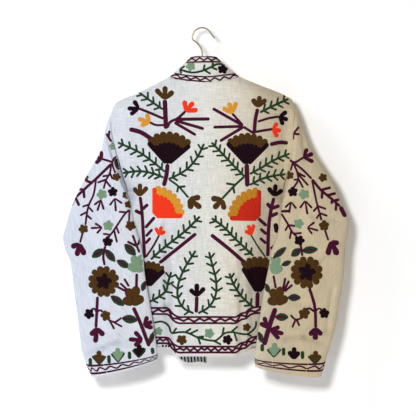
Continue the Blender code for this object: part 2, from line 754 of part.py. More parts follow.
def main():
    for item in list(bpy.data.objects):
        bpy.data.objects.remove(item, do_unlink=True)
    jacket = collection("suzani_jacket")
    cotton = material("slub_cotton", CREAM, 0.95)
    band_cotton = material("band_cotton", CREAM_BAND, 0.95)
    striped = material("striped_cotton", STRIPE_GREY, 0.95)
    wire = material("champagne_wire", CHAMPAGNE, 0.35, 1.0)
    bar_finish = material("hanger_bar_finish", BAR_COLOUR, 0.5)

    back_columns = 2 * SHOULDER_COLUMNS + NECK_COLUMNS
    rows = ARMHOLE_ROWS + SIDE_ROWS
    sewn = [
        Piece("back_panel", back_panel, back_columns, rows, cotton, flip=True),
        Piece("collar", collar, NECK_COLUMNS, BAND_COLUMNS, band_cotton),
    ]
    for side, left in (("left", True), ("right", False)):
        front = functools.partial(front_panel, left=left)
        band = functools.partial(front_band, left=left)
        arm = functools.partial(sleeve, left=left)
        sewn += [
            Piece("front_" + side, front, SHOULDER_COLUMNS, rows, cotton, flip=left),
            Piece("front_band_" + side, band, BAND_COLUMNS, rows, band_cotton, flip=not left),
            Piece("sleeve_" + side, arm, 2 * ARMHOLE_ROWS, SLEEVE_ROWS, cotton, tube=True, flip=left),
        ]
    sew(sewn)
    facing = Piece("hem_facing_left", hem_facing, FACING_COLUMNS, FACING_ROWS, striped, FACING_WALL)
    for piece in [*sewn, facing]:
        piece.build(jacket)
    hanger_bar(bar_finish, jacket)
    hanger_hook(wire, jacket)


main()
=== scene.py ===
"""An embroidered suzani jacket on a slim clothes hanger, with its cloth, stitching and studio stage.

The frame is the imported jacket: its origin is the underside of the hook's crown, +Z is up, +X is to the
right of someone who looks at the jacket's back, and -Y points from the back towards that viewer.
"""

import functools
import json
import math

import bpy
import numpy as np
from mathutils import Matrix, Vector
from mathutils.bvhtree import BVHTree

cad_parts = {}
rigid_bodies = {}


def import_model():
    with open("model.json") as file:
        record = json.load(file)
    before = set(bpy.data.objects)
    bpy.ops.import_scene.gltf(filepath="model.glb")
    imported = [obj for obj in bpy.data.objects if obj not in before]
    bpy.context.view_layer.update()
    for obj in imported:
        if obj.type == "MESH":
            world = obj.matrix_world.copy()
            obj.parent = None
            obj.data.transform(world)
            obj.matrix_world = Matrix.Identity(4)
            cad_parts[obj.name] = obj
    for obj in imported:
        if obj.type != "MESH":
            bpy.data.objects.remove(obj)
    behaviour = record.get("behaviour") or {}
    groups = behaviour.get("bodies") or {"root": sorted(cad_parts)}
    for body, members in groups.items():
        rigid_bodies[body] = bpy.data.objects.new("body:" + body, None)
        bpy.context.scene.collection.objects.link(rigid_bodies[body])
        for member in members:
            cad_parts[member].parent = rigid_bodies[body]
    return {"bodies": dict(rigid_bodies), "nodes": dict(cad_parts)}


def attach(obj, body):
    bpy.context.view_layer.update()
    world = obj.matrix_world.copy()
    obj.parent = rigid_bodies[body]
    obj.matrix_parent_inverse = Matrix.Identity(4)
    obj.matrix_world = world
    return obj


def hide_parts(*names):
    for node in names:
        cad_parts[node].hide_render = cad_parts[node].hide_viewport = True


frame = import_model()

bl_info = {
    "name": "Suzani Jacket",
    "version": (1, 0, 0),
    "blender": (4, 5, 0),
    "location": "View3D > Sidebar > Suzani Jacket",
    "description": "Dresses the packed jacket in slub cotton and embroidery",
    "category": "Object",
}

MM = 0.001

BODY = sorted(frame["bodies"])[0]

# Cloth
WALL = 2.0 * MM
SEAM_GAP = 0.3 * MM

# Heights of the body, measured down from the hook's crown
UNDERARM_Z = -375.0 * MM
NECK_DROP = 14.5 * MM
NECK_POINT_LEFT = (-76.0 * MM, -111.5 * MM)
NECK_POINT_RIGHT = (87.0 * MM, -111.0 * MM)
NECK_MIDDLE = (NECK_POINT_LEFT[0] + NECK_POINT_RIGHT[0]) / 2
NECK_HALF = (NECK_POINT_RIGHT[0] - NECK_POINT_LEFT[0]) / 2
BACK_NECK_DEPTH = 30.0 * MM

# Collar: its free edge is a small oval above the neck
COLLAR_TOP_LEFT = -26.5 * MM
COLLAR_TOP_RIGHT = 34.0 * MM
COLLAR_TOP_DEPTH = 24.0 * MM
COLLAR_TOP_Z = -66.0 * MM
COLLAR_TOP_RISE = 1.5 * MM
COLLAR_BOW = 2.0 * MM
BAND_BOW_RUN = 0.2

# Body depth
ARMHOLE_DEPTH_BACK = 24.0 * MM
ARMHOLE_DEPTH_FRONT = 20.0 * MM
SHOULDER_ROUNDING = 35.0 * MM
SIDE_ROUNDING = 60.0 * MM
SIDE_SEAM_Y = 4.0 * MM
SIDE_SEAM_RUN = 80.0 * MM

# Hanger
WIRE_RADIUS = 1.75 * MM
HOOK_RADIUS = 22.0 * MM

# The hook's stem from the bar to the round crown: x, z in mm
HOOK_STEM = (
    (0.0, -97.7),
    (0.0, -70.0),
    (0.0, -52.0),
    (-2.5, -45.0),
    (-8.5, -36.5),
    (-15.5, -29.5),
)
# The crown's arc, in degrees from +X, and the hook's free end: x, z in mm
HOOK_ARC = (195, 30, -15)
HOOK_END = (
    (24.5, -17.0),
    (29.5, -22.5),
)

# Shoulder seams from the neck point to the top of the armhole: x, z in mm
SHOULDER_LEFT = (
    (-76.0, -111.5),
    (-115.0, -131.8),
    (-152.0, -150.5),
    (-185.0, -163.5),
    (-202.0, -176.0),
    (-211.0, -197.0),
)
SHOULDER_RIGHT = (
    (87.0, -111.0),
    (127.0, -127.5),
    (159.0, -140.0),
    (195.0, -156.0),
    (209.0, -166.0),
    (216.0, -180.0),
)

# Side edge of the body, down the armhole seam and then the side seam: z, left x, right x in mm
SIDES = (
    (-180.0, -211.0, 216.0),
    (-197.0, -211.0, 213.5),
    (-245.0, -206.0, 208.0),
    (-280.0, -197.0, 203.5),
    (-322.0, -186.5, 196.5),
    (-346.0, -180.0, 192.0),
    (-375.0, -172.0, 188.0),
    (-398.0, -185.0, 200.0),
    (-430.0, -200.0, 214.0),
    (-480.0, -213.0, 226.0),
    (-560.0, -223.0, 235.0),
    (-760.0, -235.0, 246.0),
)

# Distance of the cloth from the hanger's plane at the middle: z, back, front in mm
DEPTHS = (
    (-110.0, 27.0, 20.0),
    (-160.0, 26.0, 22.0),
    (-250.0, 28.0, 24.0),
    (-375.0, 32.0, 26.0),
    (-520.0, 38.0, 27.0),
    (-760.0, 42.0, 29.0),
)

# Soft steps where the back turns away behind a sleeve, a row for each: x where it starts, x where it ends,
# depth and lift of the hem in mm
BACK_STEPS = (
    (-56.0, -82.0, 21.0, 20.0),
    (76.0, 94.0, 9.0, 9.0),
    (98.0, 118.0, 9.0, 13.0),
)
STEP_TOP_Z = -400.0 * MM
STEP_FULL_Z = -600.0 * MM

# Heights between which the back lies tucked in under the sleeve's fold, below the underarm
TUCK_RISE = (-315.0 * MM, -378.0 * MM)
TUCK_FALL = (-410.0 * MM, -460.0 * MM)

BACK_HEM_Z = -752.0 * MM

# Hem of the fronts: x, z in mm
HEM_FRONT_LEFT = (
    (-228.0, -732.0),
    (-100.0, -734.0),
    (-76.0, -733.5),
    (-63.0, -744.0),
    (-53.0, -758.0),
    (0.0, -769.0),
    (14.0, -771.5),
)
HEM_FRONT_RIGHT = (
    (16.0, -747.5),
    (87.0, -743.0),
    (110.0, -738.5),
    (232.0, -730.0),
)

# Front band, a row for each place on its seam: the seam's z and x, then the x, y and z of the free edge
# beside it, in mm
BAND_LEFT = (
    (-111.5, -76.0, -26.5, 0.0, -66.0),
    (-125.0, -72.5, -24.0, 9.0, -81.0),
    (-150.0, -67.0, -15.0, 22.0, -115.0),
    (-190.0, -61.0, -5.0, 27.0, -172.0),
    (-240.0, -57.5, 1.0, 28.0, -233.0),
    (-320.0, -56.0, 3.0, 28.5, -320.0),
    (-500.0, -53.5, 6.0, 29.0, -500.0),
    (-760.0, -49.0, 11.5, 31.0, -771.0),
)
BAND_RIGHT = (
    (-111.0, 87.0, 34.0, 0.0, -66.0),
    (-125.0, 83.5, 34.0, 9.0, -81.0),
    (-150.0, 78.0, 26.0, 22.0, -115.0),
    (-190.0, 72.0, 16.0, 27.0, -172.0),
    (-240.0, 68.5, 9.5, 28.0, -233.0),
    (-320.0, 68.0, 9.0, 28.5, -320.0),
    (-500.0, 71.0, 12.0, 29.0, -500.0),
    (-747.0, 78.0, 19.0, 31.0, -747.5),
)

# Sleeves, a row for each section from the armhole to the cuff: the outer fold's x, z and y, the inner
# fold's x, z and y, and half of the depth, in mm
SLEEVE_LEFT = (
    (-211.0, -197.0, 0.0, -172.0, -375.0, 0.0, 22.0),
    (-222.5, -231.0, -2.0, -174.0, -387.0, -18.0, 24.0),
    (-231.0, -276.0, -5.0, -164.0, -399.0, -23.0, 25.0),
    (-250.0, -312.0, -8.0, -161.0, -416.0, -26.0, 24.0),
    (-276.0, -359.0, -11.0, -156.0, -440.0, -29.0, 22.0),
    (-299.0, -409.0, -14.0, -149.0, -462.0, -31.0, 20.0),
    (-311.0, -450.0, -17.0, -142.0, -487.0, -33.0, 18.0),
    (-318.5, -480.0, -19.0, -137.0, -508.0, -34.0, 16.0),
    (-314.0, -506.0, -20.0, -133.5, -530.0, -34.0, 15.0),
    (-301.0, -540.0, -21.0, -131.0, -560.0, -34.0, 15.0),
    (-293.0, -604.0, -22.0, -123.0, -608.0, -34.0, 14.0),
    (-285.0, -659.0, -23.0, -114.0, -662.0, -35.0, 14.0),
    (-280.0, -704.0, -24.0, -107.5, -704.0, -36.0, 14.0),
    (-273.0, -748.0, -25.0, -102.5, -735.0, -37.0, 14.0),
    (-253.0, -796.0, -27.0, -102.0, -756.0, -39.0, 15.0),
)
SLEEVE_RIGHT = (
    (216.0, -180.0, 0.0, 188.0, -375.0, 0.0, 22.0),
    (226.5, -211.0, -2.0, 189.5, -387.0, -18.0, 24.0),
    (237.5, -245.0, -5.0, 183.0, -401.0, -23.0, 25.0),
    (252.0, -277.0, -8.0, 181.0, -420.0, -26.0, 24.0),
    (278.0, -318.0, -11.0, 178.0, -440.0, -29.0, 22.0),
    (302.0, -355.0, -14.0, 174.5, -463.0, -31.0, 20.0),
    (320.0, -400.0, -17.0, 169.0, -484.0, -33.0, 18.0),
    (334.0, -433.0, -19.0, 161.5, -503.0, -34.0, 16.0),
    (335.0, -463.0, -20.0, 156.5, -522.0, -34.0, 15.0),
    (328.0, -508.0, -21.0, 152.5, -547.0, -34.0, 15.0),
    (325.0, -565.0, -22.0, 145.0, -584.0, -34.0, 14.0),
    (315.0, -626.0, -23.0, 135.5, -640.0, -35.0, 14.0),
    (305.0, -688.0, -24.0, 128.5, -694.0, -36.0, 14.0),
    (289.0, -742.0, -25.0, 121.5, -742.0, -37.0, 14.0),
    (273.0, -796.0, -27.0, 121.0, -772.0, -39.0, 15.0),
)
SLEEVE_HEAD_REACH = 0.16
SLEEVE_CLEARANCE = 3.5 * MM
SLEEVE_CLEAR_REACH = 0.04
SLEEVE_SEAM_FREEDOM = 40.0 * MM
SLEEVE_FULLNESS = 0.75
CUFF_BOW = 9.0 * MM
CUFF_BOW_REACH = 0.22
CUFF_BOW_BEHIND = 0.3
FURTHEST_SUNK = 0.5

# Behind a sleeve the body rounds away past its side, and stops above the underarm
SIDE_FALL_AWAY = 12.0 * MM
UNDERARM_ROOM = 60.0 * MM
UNDERARM_ROOM_RUN = 14.0 * MM

# Soft hollows that hang in the cloth, a row for each: x and z of its two ends, width and depth in mm
BACK_HOLLOWS = (
    (-142.0, -330.0, -112.0, -560.0, 26.0, 5.0),
    (158.0, -320.0, 132.0, -600.0, 26.0, 5.0),
    (20.0, -470.0, 12.0, -720.0, 30.0, 4.0),
    (-191.0, -199.0, -198.0, -291.0, 12.0, 5.0),
    (196.0, -205.0, 192.0, -440.0, 20.0, 12.0),
    (-84.0, -450.0, -82.0, -640.0, 5.5, 7.5),
    (-82.0, -640.0, -70.0, -738.0, 5.5, 7.5),
    (-70.0, -460.0, -66.0, -640.0, 8.0, -4.0),
    (158.0, -420.0, 152.0, -740.0, 24.0, 14.0),
    (-40.0, -560.0, -26.0, -600.0, 6.0, 1.6),
    (60.0, -530.0, 84.0, -575.0, 7.0, 2.0),
)
FRONT_HOLLOWS = (
    (-150.0, -300.0, -128.0, -735.0, 26.0, 7.0),
    (-98.0, -420.0, -92.0, -745.0, 22.0, 4.0),
    (155.0, -330.0, 142.0, -735.0, 28.0, 6.0),
)
SLEEVE_HOLLOWS = (
    (-306.0, -470.0, -232.0, -508.0, 22.0, 6.0),
    (-272.0, -560.0, -246.0, -720.0, 24.0, 4.0),
    (-214.0, -400.0, -186.0, -560.0, 22.0, 3.0),
    (322.0, -452.0, 250.0, -500.0, 22.0, 6.0),
    (296.0, -560.0, 262.0, -715.0, 24.0, 4.0),
    (224.0, -400.0, 204.0, -575.0, 22.0, 3.0),
    (-219.0, -236.0, -199.0, -300.0, 5.0, 6.8),
    (-259.0, -748.0, -226.0, -734.6, 5.0, 7.6),
    (-226.0, -734.6, -193.0, -723.0, 5.0, 7.6),
    (-193.0, -723.0, -156.0, -719.7, 6.0, 6.0),
    (-262.0, -730.0, -193.0, -706.0, 7.0, -5.1),
    (-296.0, -600.0, -286.0, -690.0, 5.0, 5.1),
    (-300.0, -528.0, -250.0, -556.0, 6.0, 6.0),
    (-286.0, -452.0, -240.0, -446.0, 5.0, 4.2),
    (-262.0, -330.0, -222.0, -352.0, 5.0, 4.2),
    (-232.0, -655.0, -196.0, -640.0, 6.0, 3.4),
    (191.0, -712.0, 234.0, -708.0, 5.0, 6.8),
    (234.0, -708.0, 282.0, -722.0, 5.0, 7.6),
    (204.0, -694.0, 276.0, -700.0, 7.0, -4.2),
    (214.0, -628.0, 262.0, -640.0, 6.0, 5.1),
    (326.0, -500.0, 272.0, -540.0, 6.0, 6.0),
    (300.0, -600.0, 286.0, -690.0, 6.0, 5.1),
    (308.0, -440.0, 252.0, -430.0, 6.0, 5.1),
    (228.0, -215.0, 236.0, -300.0, 5.0, 5.1),
)

# Striped facing inside the hem of the left front
FACING_HEIGHT = 58.0 * MM
FACING_SIDE_X = -205.0 * MM
FACING_HEM_MARGIN = 0.5 * MM
FACING_EDGE_MARGIN = 1.5 * MM


def column(table, index):
    return np.array([row[index] for row in table]) * MM


def through(knots, values, at):
    """A smooth curve through the values at the knots, held level past both ends."""
    if knots[0] > knots[-1]:
        knots, values = knots[::-1], values[::-1]
    slopes = np.gradient(values, knots)
    at = np.clip(at, knots[0], knots[-1])
    i = np.clip(np.searchsorted(knots, at, side="right") - 1, 0, len(knots) - 2)
    span = knots[i + 1] - knots[i]
    f = (at - knots[i]) / span
    start = values[i] * (1 + 2 * f) * (1 - f) ** 2 + span * slopes[i] * f * (1 - f) ** 2
    end = values[i + 1] * f * f * (3 - 2 * f) + span * slopes[i + 1] * f * f * (f - 1)
    return start + end


def curve(table, index, at):
    """A smooth curve through a column of a table, placed by the table's first column."""
    return through(column(table, 0), column(table, index), at)


def ease(start, end, at):
    """0 before start, 1 after end, with a smooth rise between them. The end may be the smaller one."""
    f = np.clip((at - start) / (end - start), 0.0, 1.0)
    return f * f * (3 - 2 * f)


def quarter(f):
    """The rise of a quarter of an ellipse, from 0 at its edge to 1 at its crown."""
    f = np.clip(f, 0.0, 1.0)
    return np.sqrt(1 - (1 - f) ** 2)


def hollow(x, z, table):
    """How deep the hollows of a table are at a place seen from the back."""
    total = 0.0
    for row in table:
        start_x, start_z, end_x, end_z, width, depth = (value * MM for value in row)
        run_x, run_z = end_x - start_x, end_z - start_z
        share = ((x - start_x) * run_x + (z - start_z) * run_z) / (run_x**2 + run_z**2)
        share = np.clip(share, 0.0, 1.0)
        away = np.hypot(x - start_x - share * run_x, z - start_z - share * run_z)
        total = total + depth * np.exp(-((away / width) ** 2))
    return total


def side_x(z, left):
    z = np.maximum(z, SIDES[-1][0] * MM)
    return curve(SIDES, 1 if left else 2, z)


def tip_z(left):
    return (SHOULDER_LEFT if left else SHOULDER_RIGHT)[-1][1] * MM


def shoulder_z(x):
    """Height of the shoulder seam, and of a level neck between the two neck points."""
    return np.where(x < 0, curve(SHOULDER_LEFT, 1, x), curve(SHOULDER_RIGHT, 1, x))


def neck_arc(x):
    """0 at the neck points and 1 at the centre back."""
    return np.sqrt(np.clip(1 - ((x - NECK_MIDDLE) / NECK_HALF) ** 2, 0.0, 1.0))


def back_top_z(x):
    return shoulder_z(x) - NECK_DROP * neck_arc(x) ** 2


def armhole_depth(z, left):
    """0 at the armhole's top and at the underarm, and 1 half-way between them."""
    f = np.clip((tip_z(left) - z) / (tip_z(left) - UNDERARM_Z), 0.0, 1.0)
    return 2 * np.sqrt(f * (1 - f))


def side_seam_y(z):
    return SIDE_SEAM_Y * ease(UNDERARM_Z, UNDERARM_Z - SIDE_SEAM_RUN, z)


def from_side(x, z):
    """0 on the side edge of the body and 1 past the side's rounding."""
    inside = np.where(x < 0, x - side_x(z, True), side_x(z, False) - x)
    return quarter(inside / SIDE_ROUNDING)


def by_side(x, value):
    """The value for the left or for the right, by the sign of x."""
    return np.where(x < 0, value(True), value(False))


def step_share(x, z, index):
    """How far the steps of the back have gone at x: index 2 gives their depth and 3 the lift of the hem."""
    total = 0.0
    for step in BACK_STEPS:
        total = total + step[index] * MM * ease(step[0] * MM, step[1] * MM, x)
    return total * ease(STEP_TOP_Z, STEP_FULL_Z, z)


def back_y(x, z):
    flat = step_share(x, z, 2) - curve(DEPTHS, 1, z)
    flat = flat + hollow(x, z, BACK_HOLLOWS)
    top = -BACK_NECK_DEPTH * neck_arc(x)
    inner = top + (flat - top) * quarter((back_top_z(x) - z) / SHOULDER_ROUNDING)
    edge = by_side(x, lambda left: -ARMHOLE_DEPTH_BACK * armhole_depth(z, left)) + side_seam_y(z)
    tucked = ease(*TUCK_RISE, z) * (1 - ease(*TUCK_FALL, z))
    share = from_side(x, z)
    share = share + (ease(0.0, 1.0, share * share) - share) * tucked
    return edge + (inner - edge) * share


def front_y(x, z):
    flat = curve(DEPTHS, 2, z) - hollow(x, z, FRONT_HOLLOWS)
    inner = flat * quarter((shoulder_z(x) - z) / SHOULDER_ROUNDING)
    edge = by_side(x, lambda left: ARMHOLE_DEPTH_FRONT * armhole_depth(z, left)) + side_seam_y(z)
    share = from_side(x, z)
    return edge + (inner - edge) * share


def back_hem_z(x):
    return BACK_HEM_Z + step_share(x, BACK_HEM_Z, 3)


def side_hem_z(left):
    return back_hem_z((SIDES[-1][1] if left else SIDES[-1][2]) * MM)


def front_hem_z(x, left):
    return curve(HEM_FRONT_LEFT if left else HEM_FRONT_RIGHT, 1, x)


def fall(down, top, hem):
    """Height of a row: the upper half of the rows reaches the underarm, the lower half the hem."""
    upper = (1 - np.cos(2 * np.pi * np.minimum(down, 0.5))) / 2
    lower = np.clip(2 * down - 1, 0.0, 1.0)
    return top + (UNDERARM_Z - top) * upper + (hem - UNDERARM_Z) * lower


def side_row_z(down, left):
    """Height of a row on the side edge, where the back and a front meet."""
    return fall(down, tip_z(left), side_hem_z(left))


def back_panel(across, down):
    """The share is 0 to 1 over the left shoulder, to 2 over the neck and to 3 over the right shoulder."""
    share = 3 * across
    neck_x = NECK_MIDDLE - NECK_HALF * np.cos(np.pi * np.clip(share - 1, 0.0, 1.0))

    def spread(left_x, right_x):
        left = left_x + (NECK_POINT_LEFT[0] - left_x) * np.minimum(share, 1.0)
        right = NECK_POINT_RIGHT[0] + (right_x - NECK_POINT_RIGHT[0]) * np.clip(share - 2, 0.0, 1.0)
        return np.where(share <= 1, left, np.where(share < 2, neck_x, right))

    top_x = spread(SHOULDER_LEFT[-1][0] * MM, SHOULDER_RIGHT[-1][0] * MM)
    x = spread(side_x(side_row_z(down, True), True), side_x(side_row_z(down, False), False))
    foot_x = spread(side_x(side_row_z(1.0, True), True), side_x(side_row_z(1.0, False), False))
    z = fall(down, back_top_z(top_x), back_hem_z(foot_x))
    return x, back_y(x, z), z


def band_table(left):
    return BAND_LEFT if left else BAND_RIGHT


def band_seam_x(z, left):
    return curve(band_table(left), 1, z)


def front_seam_z(down, left):
    point = NECK_POINT_LEFT if left else NECK_POINT_RIGHT
    hem = front_hem_z(band_seam_x(BACK_HEM_Z, left), left)
    return fall(down, point[1], hem)


def front_panel(across, down, left):
    """Across runs from the band's seam to the armhole and the side."""
    point = NECK_POINT_LEFT if left else NECK_POINT_RIGHT
    tip_x = (SHOULDER_LEFT if left else SHOULDER_RIGHT)[-1][0] * MM
    top_x = point[0] + (tip_x - point[0]) * across
    inner_x = band_seam_x(front_seam_z(down, left), left)
    outer_x = side_x(side_row_z(down, left), left)
    x = inner_x + (outer_x - inner_x) * across
    foot_inner_x = band_seam_x(front_seam_z(1.0, left), left)
    foot_x = foot_inner_x + (side_x(side_row_z(1.0, left), left) - foot_inner_x) * across
    z = fall(down, shoulder_z(top_x), front_hem_z(foot_x, left))
    return x, front_y(x, z), z


def front_band(across, down, left):
    """Across runs from the seam with the front to the free edge."""
    table = band_table(left)
    seam_z = front_seam_z(down, left)
    seam_x = band_seam_x(seam_z, left)
    seam_y = front_y(seam_x, seam_z)
    free_x, free_y, free_z = (curve(table, i, seam_z) for i in (2, 3, 4))
    x = seam_x + (free_x - seam_x) * across
    bow = COLLAR_BOW * np.sin(np.pi * across) * ease(0.0, BAND_BOW_RUN, down)
    y = seam_y + (free_y - seam_y) * across + bow
    z = seam_z + (free_z - seam_z) * across
    return x, y, z


def collar(across, up):
    """The stand round the back of the neck, across from the left neck point to the right one."""
    turn = np.pi * across
    low_x = NECK_MIDDLE - NECK_HALF * np.cos(turn)
    low_y = -BACK_NECK_DEPTH * np.sin(turn)
    low_z = back_top_z(low_x)
    top_middle = (COLLAR_TOP_LEFT + COLLAR_TOP_RIGHT) / 2
    top_half = (COLLAR_TOP_RIGHT - COLLAR_TOP_LEFT) / 2
    top_x = top_middle - top_half * np.cos(turn)
    top_y = -COLLAR_TOP_DEPTH * np.sin(turn)
    top_z = COLLAR_TOP_Z + COLLAR_TOP_RISE * np.sin(turn)
    bow = COLLAR_BOW * np.sin(np.pi * up)
    x = low_x + (top_x - low_x) * up
    y = low_y + (top_y - low_y) * up - bow * np.sin(turn)
    z = low_z + (top_z - low_z) * up
    return x, y, z


def body_face_y(x, z):
    """Where the body's back lies behind a sleeve, falling away past the side seam and above the underarm."""
    left, right = side_x(z, True), side_x(z, False)
    past = np.maximum(np.maximum(left - x, x - right), 0.0)
    inside = np.clip(x, left, right)
    fall_away = past * past / SIDE_FALL_AWAY
    room = UNDERARM_ROOM * ease(UNDERARM_Z, UNDERARM_Z + UNDERARM_ROOM_RUN, z)
    return back_y(inside, z) + fall_away + room


def sleeve(around, along, left):
    """Around starts at the outer fold, crosses the viewer's side, and returns behind from the inner fold."""
    table = SLEEVE_LEFT if left else SLEEVE_RIGHT
    knots = np.linspace(0.0, 1.0, len(table))
    outer_x, outer_z, outer_y, inner_x, inner_z, inner_y, half = (
        through(knots, column(table, i), along) for i in range(7)
    )
    turn = 2 * np.pi * around
    share = (1 - np.cos(turn)) / 2
    rise = np.abs(np.sin(turn)) ** SLEEVE_FULLNESS
    near = around <= 0.5
    x = outer_x + (inner_x - outer_x) * share
    z = outer_z + (inner_z - outer_z) * share
    middle = outer_y + (inner_y - outer_y) * share
    bow = CUFF_BOW * np.where(near, rise, CUFF_BOW_BEHIND * rise)
    z = z - bow * ease(1 - CUFF_BOW_REACH, 1.0, along)
    kept_clear = ease(0.0, SLEEVE_CLEAR_REACH, along)
    freedom = (SLEEVE_SEAM_FREEDOM + SLEEVE_CLEARANCE) * (1 - kept_clear) - SLEEVE_CLEARANCE
    behind = np.minimum(middle + half * rise, body_face_y(x, z) + freedom)
    sunk = hollow(x, z, SLEEVE_HOLLOWS) * rise
    furthest = middle - half * rise * FURTHEST_SUNK
    y = np.where(near, middle - half * rise + sunk, np.maximum(behind - sunk, furthest))

    seam_z = tip_z(left) + (UNDERARM_Z - tip_z(left)) * share
    seam_x = side_x(seam_z, left)
    depth = np.where(near, -ARMHOLE_DEPTH_BACK, ARMHOLE_DEPTH_FRONT)
    seam_y = depth * armhole_depth(seam_z, left)
    head = 1 - ease(0.0, SLEEVE_HEAD_REACH, along)
    start_x, start_z = table[0][0] * MM, table[0][1] * MM
    end_x, end_z = table[0][3] * MM, table[0][4] * MM
    chord_x = start_x + (end_x - start_x) * share
    chord_z = start_z + (end_z - start_z) * share
    chord_y = np.where(near, -1.0, 1.0) * table[0][6] * MM * rise
    x = x + (seam_x - chord_x) * head
    y = y + (seam_y - chord_y) * head
    z = z + (seam_z - chord_z) * head
    y = np.minimum(y, body_face_y(x, z) + freedom)
    return x, y, z


def hem_facing(across, up):
    """Strip inside the left front, from the band's free edge to the side, just off the cloth behind it."""
    free_x = BAND_LEFT[-1][2] * MM - FACING_EDGE_MARGIN
    x = free_x + (FACING_SIDE_X - free_x) * across
    z = front_hem_z(x, True) + FACING_HEM_MARGIN + FACING_HEIGHT * up
    seam = band_seam_x(z, True)
    share = np.clip((x - seam) / (free_x - seam), 0.0, 1.0)
    free_y = curve(BAND_LEFT, 3, z)
    on_band = front_y(seam, z) + (free_y - front_y(seam, z)) * share
    carried = np.where(x > seam, on_band, front_y(x, z))
    return x, carried - WALL - 2 * SEAM_GAP, z


# Columns and rows of each cloth piece's grid, and the places near its ends where it is finer
GRIDS = {
    "back": (120, 160),
    "front": (44, 150),
    "sleeve": (110, 190),
    "band": (14, 170),
    "collar": (60, 16),
    "facing": (50, 16),
}
END_STATIONS = (0.25, 0.6)

# Seams, where the thread draws the cloth in, with a long and a short ripple of puckers beside them
SEAM_SINK = 0.8 * MM
SEAM_REACH = 2.5 * MM
PUCKER = 0.35 * MM
PUCKER_REACH = 7 * MM
LONG_RIPPLE = 9 * MM
SHORT_RIPPLE = 5.3 * MM
SHORT_RIPPLE_SHARE = 0.6
SHORT_RIPPLE_START = 1.7
SHARP_EDGE = math.radians(50)

# Hanger: points along the hook's wire, the rounding of its free end, and the bar's edges
HOOK_POINTS = 120
HOOK_SIDES = 6
DOME_TURNS = np.radians((15, 35, 55, 75, 88))
BAR_WELD = 0.01 * MM
BAR_ROUNDING = 1.6 * MM
BAR_ROUNDING_STEPS = 3

# Embroidery: the distance between points along a stroke, the rounding of its ends and its rounded
# section, then how deep it sinks, how far one level lies above another and how its width spreads
STITCH_STEP = 1.7 * MM
CAP_TURNS = np.radians((4.0, 35.0, 65.0, 90.0))
STROKE_ACROSS = np.array((-1.0, -0.62, 0.0, 0.62, 1.0))
STROKE_HEIGHTS = np.array((0.0, 0.75, 1.0, 0.75, 0.0))
STROKE_SINK = 0.3 * MM
LEVEL_RISE = 0.3 * MM
EDGE_SPREAD = 1.13
PETAL_SPREAD = 1.14
END_HEIGHT = 0.4
THIN_HEIGHT = 0.55
FULL_HEIGHT_WIDTH = 4 * MM
WIDTH_CHANCE = (0.95, 1.05)

# Share of a stroke's points that have to meet the cloth, for a short and for a long one
HIT_SHARE = 0.7
LONG_HIT_SHARE = 0.02
LONG_STROKE = 60 * MM
RAY_START = 1.0

# How a stroke widens from its start: the share there, what it gains, and for a petal how soon
PETAL_GROWTH = (0.62, 0.38, 1.5)
RAY_GROWTH = (0.12, 0.88)
LEAF_TAPER = (0.04, 0.92, 0.8)

# Motifs, in shares of their radius, width or length where no other unit is given. Turns are in degrees
UP = (0.0, -1.0)
TWIG_SETBACK = 0.7
FERN_REACH = 7.6
FERN_WIDTH = 2.1
FERN_STEM = 2.3
LEAFLET_LEAN = 52
FLOWER_LOBES = 5
LOBE_START = 0.08
LOBE_WIDTH = 0.9
LOBE_REACH = 1.08
HEART_WIDTH = 0.8
HEART_REACH = 0.5
ROSETTE_PETALS = 12
ROSETTE_TURN = 15
ROSETTE_WIDTH = 0.54
CORE_LOBES = 5
CORE_TURN = 10
CORE_START = 0.06
CORE_WIDTH = 0.98
CORE_REACH = 1.1
VEIN_WIDTH = 0.36
VEIN_START = 0.06
VEIN_END = 0.8
FAN_RAYS = 7
FAN_CROWN_LAP = 1.04
FAN_BODY_LAP = 1.12
WING = 5.0
WING_START = 1.0
WAVE_LOW = 0.3
WAVE_HIGH = 0.7

# The charted designs: the side of a square, and the column and row of the frame's origin
CHART_SQUARE = 2.3 * MM
CHART_ORIGIN = (202.0, 28.5)


def stations(count):
    """Evenly spaced places from 0 to 1, with two more close to both ends."""
    even = np.linspace(0.0, 1.0, count + 1)
    step = even[1]
    near = np.array(END_STATIONS) * step
    return np.sort(np.concatenate([even, near, 1 - near]))


def every_cell(columns, rows):
    """The column and the row of every cell of a grid."""
    return (grid.ravel() for grid in np.meshgrid(np.arange(columns), np.arange(rows), indexing="ij"))


def lengths_from_start(points, axis):
    steps = np.linalg.norm(np.diff(points, axis=axis), axis=-1)
    lead = [(1, 0), (0, 0)] if axis == 0 else [(0, 0), (1, 0)]
    return np.pad(np.cumsum(steps, axis=axis), lead)


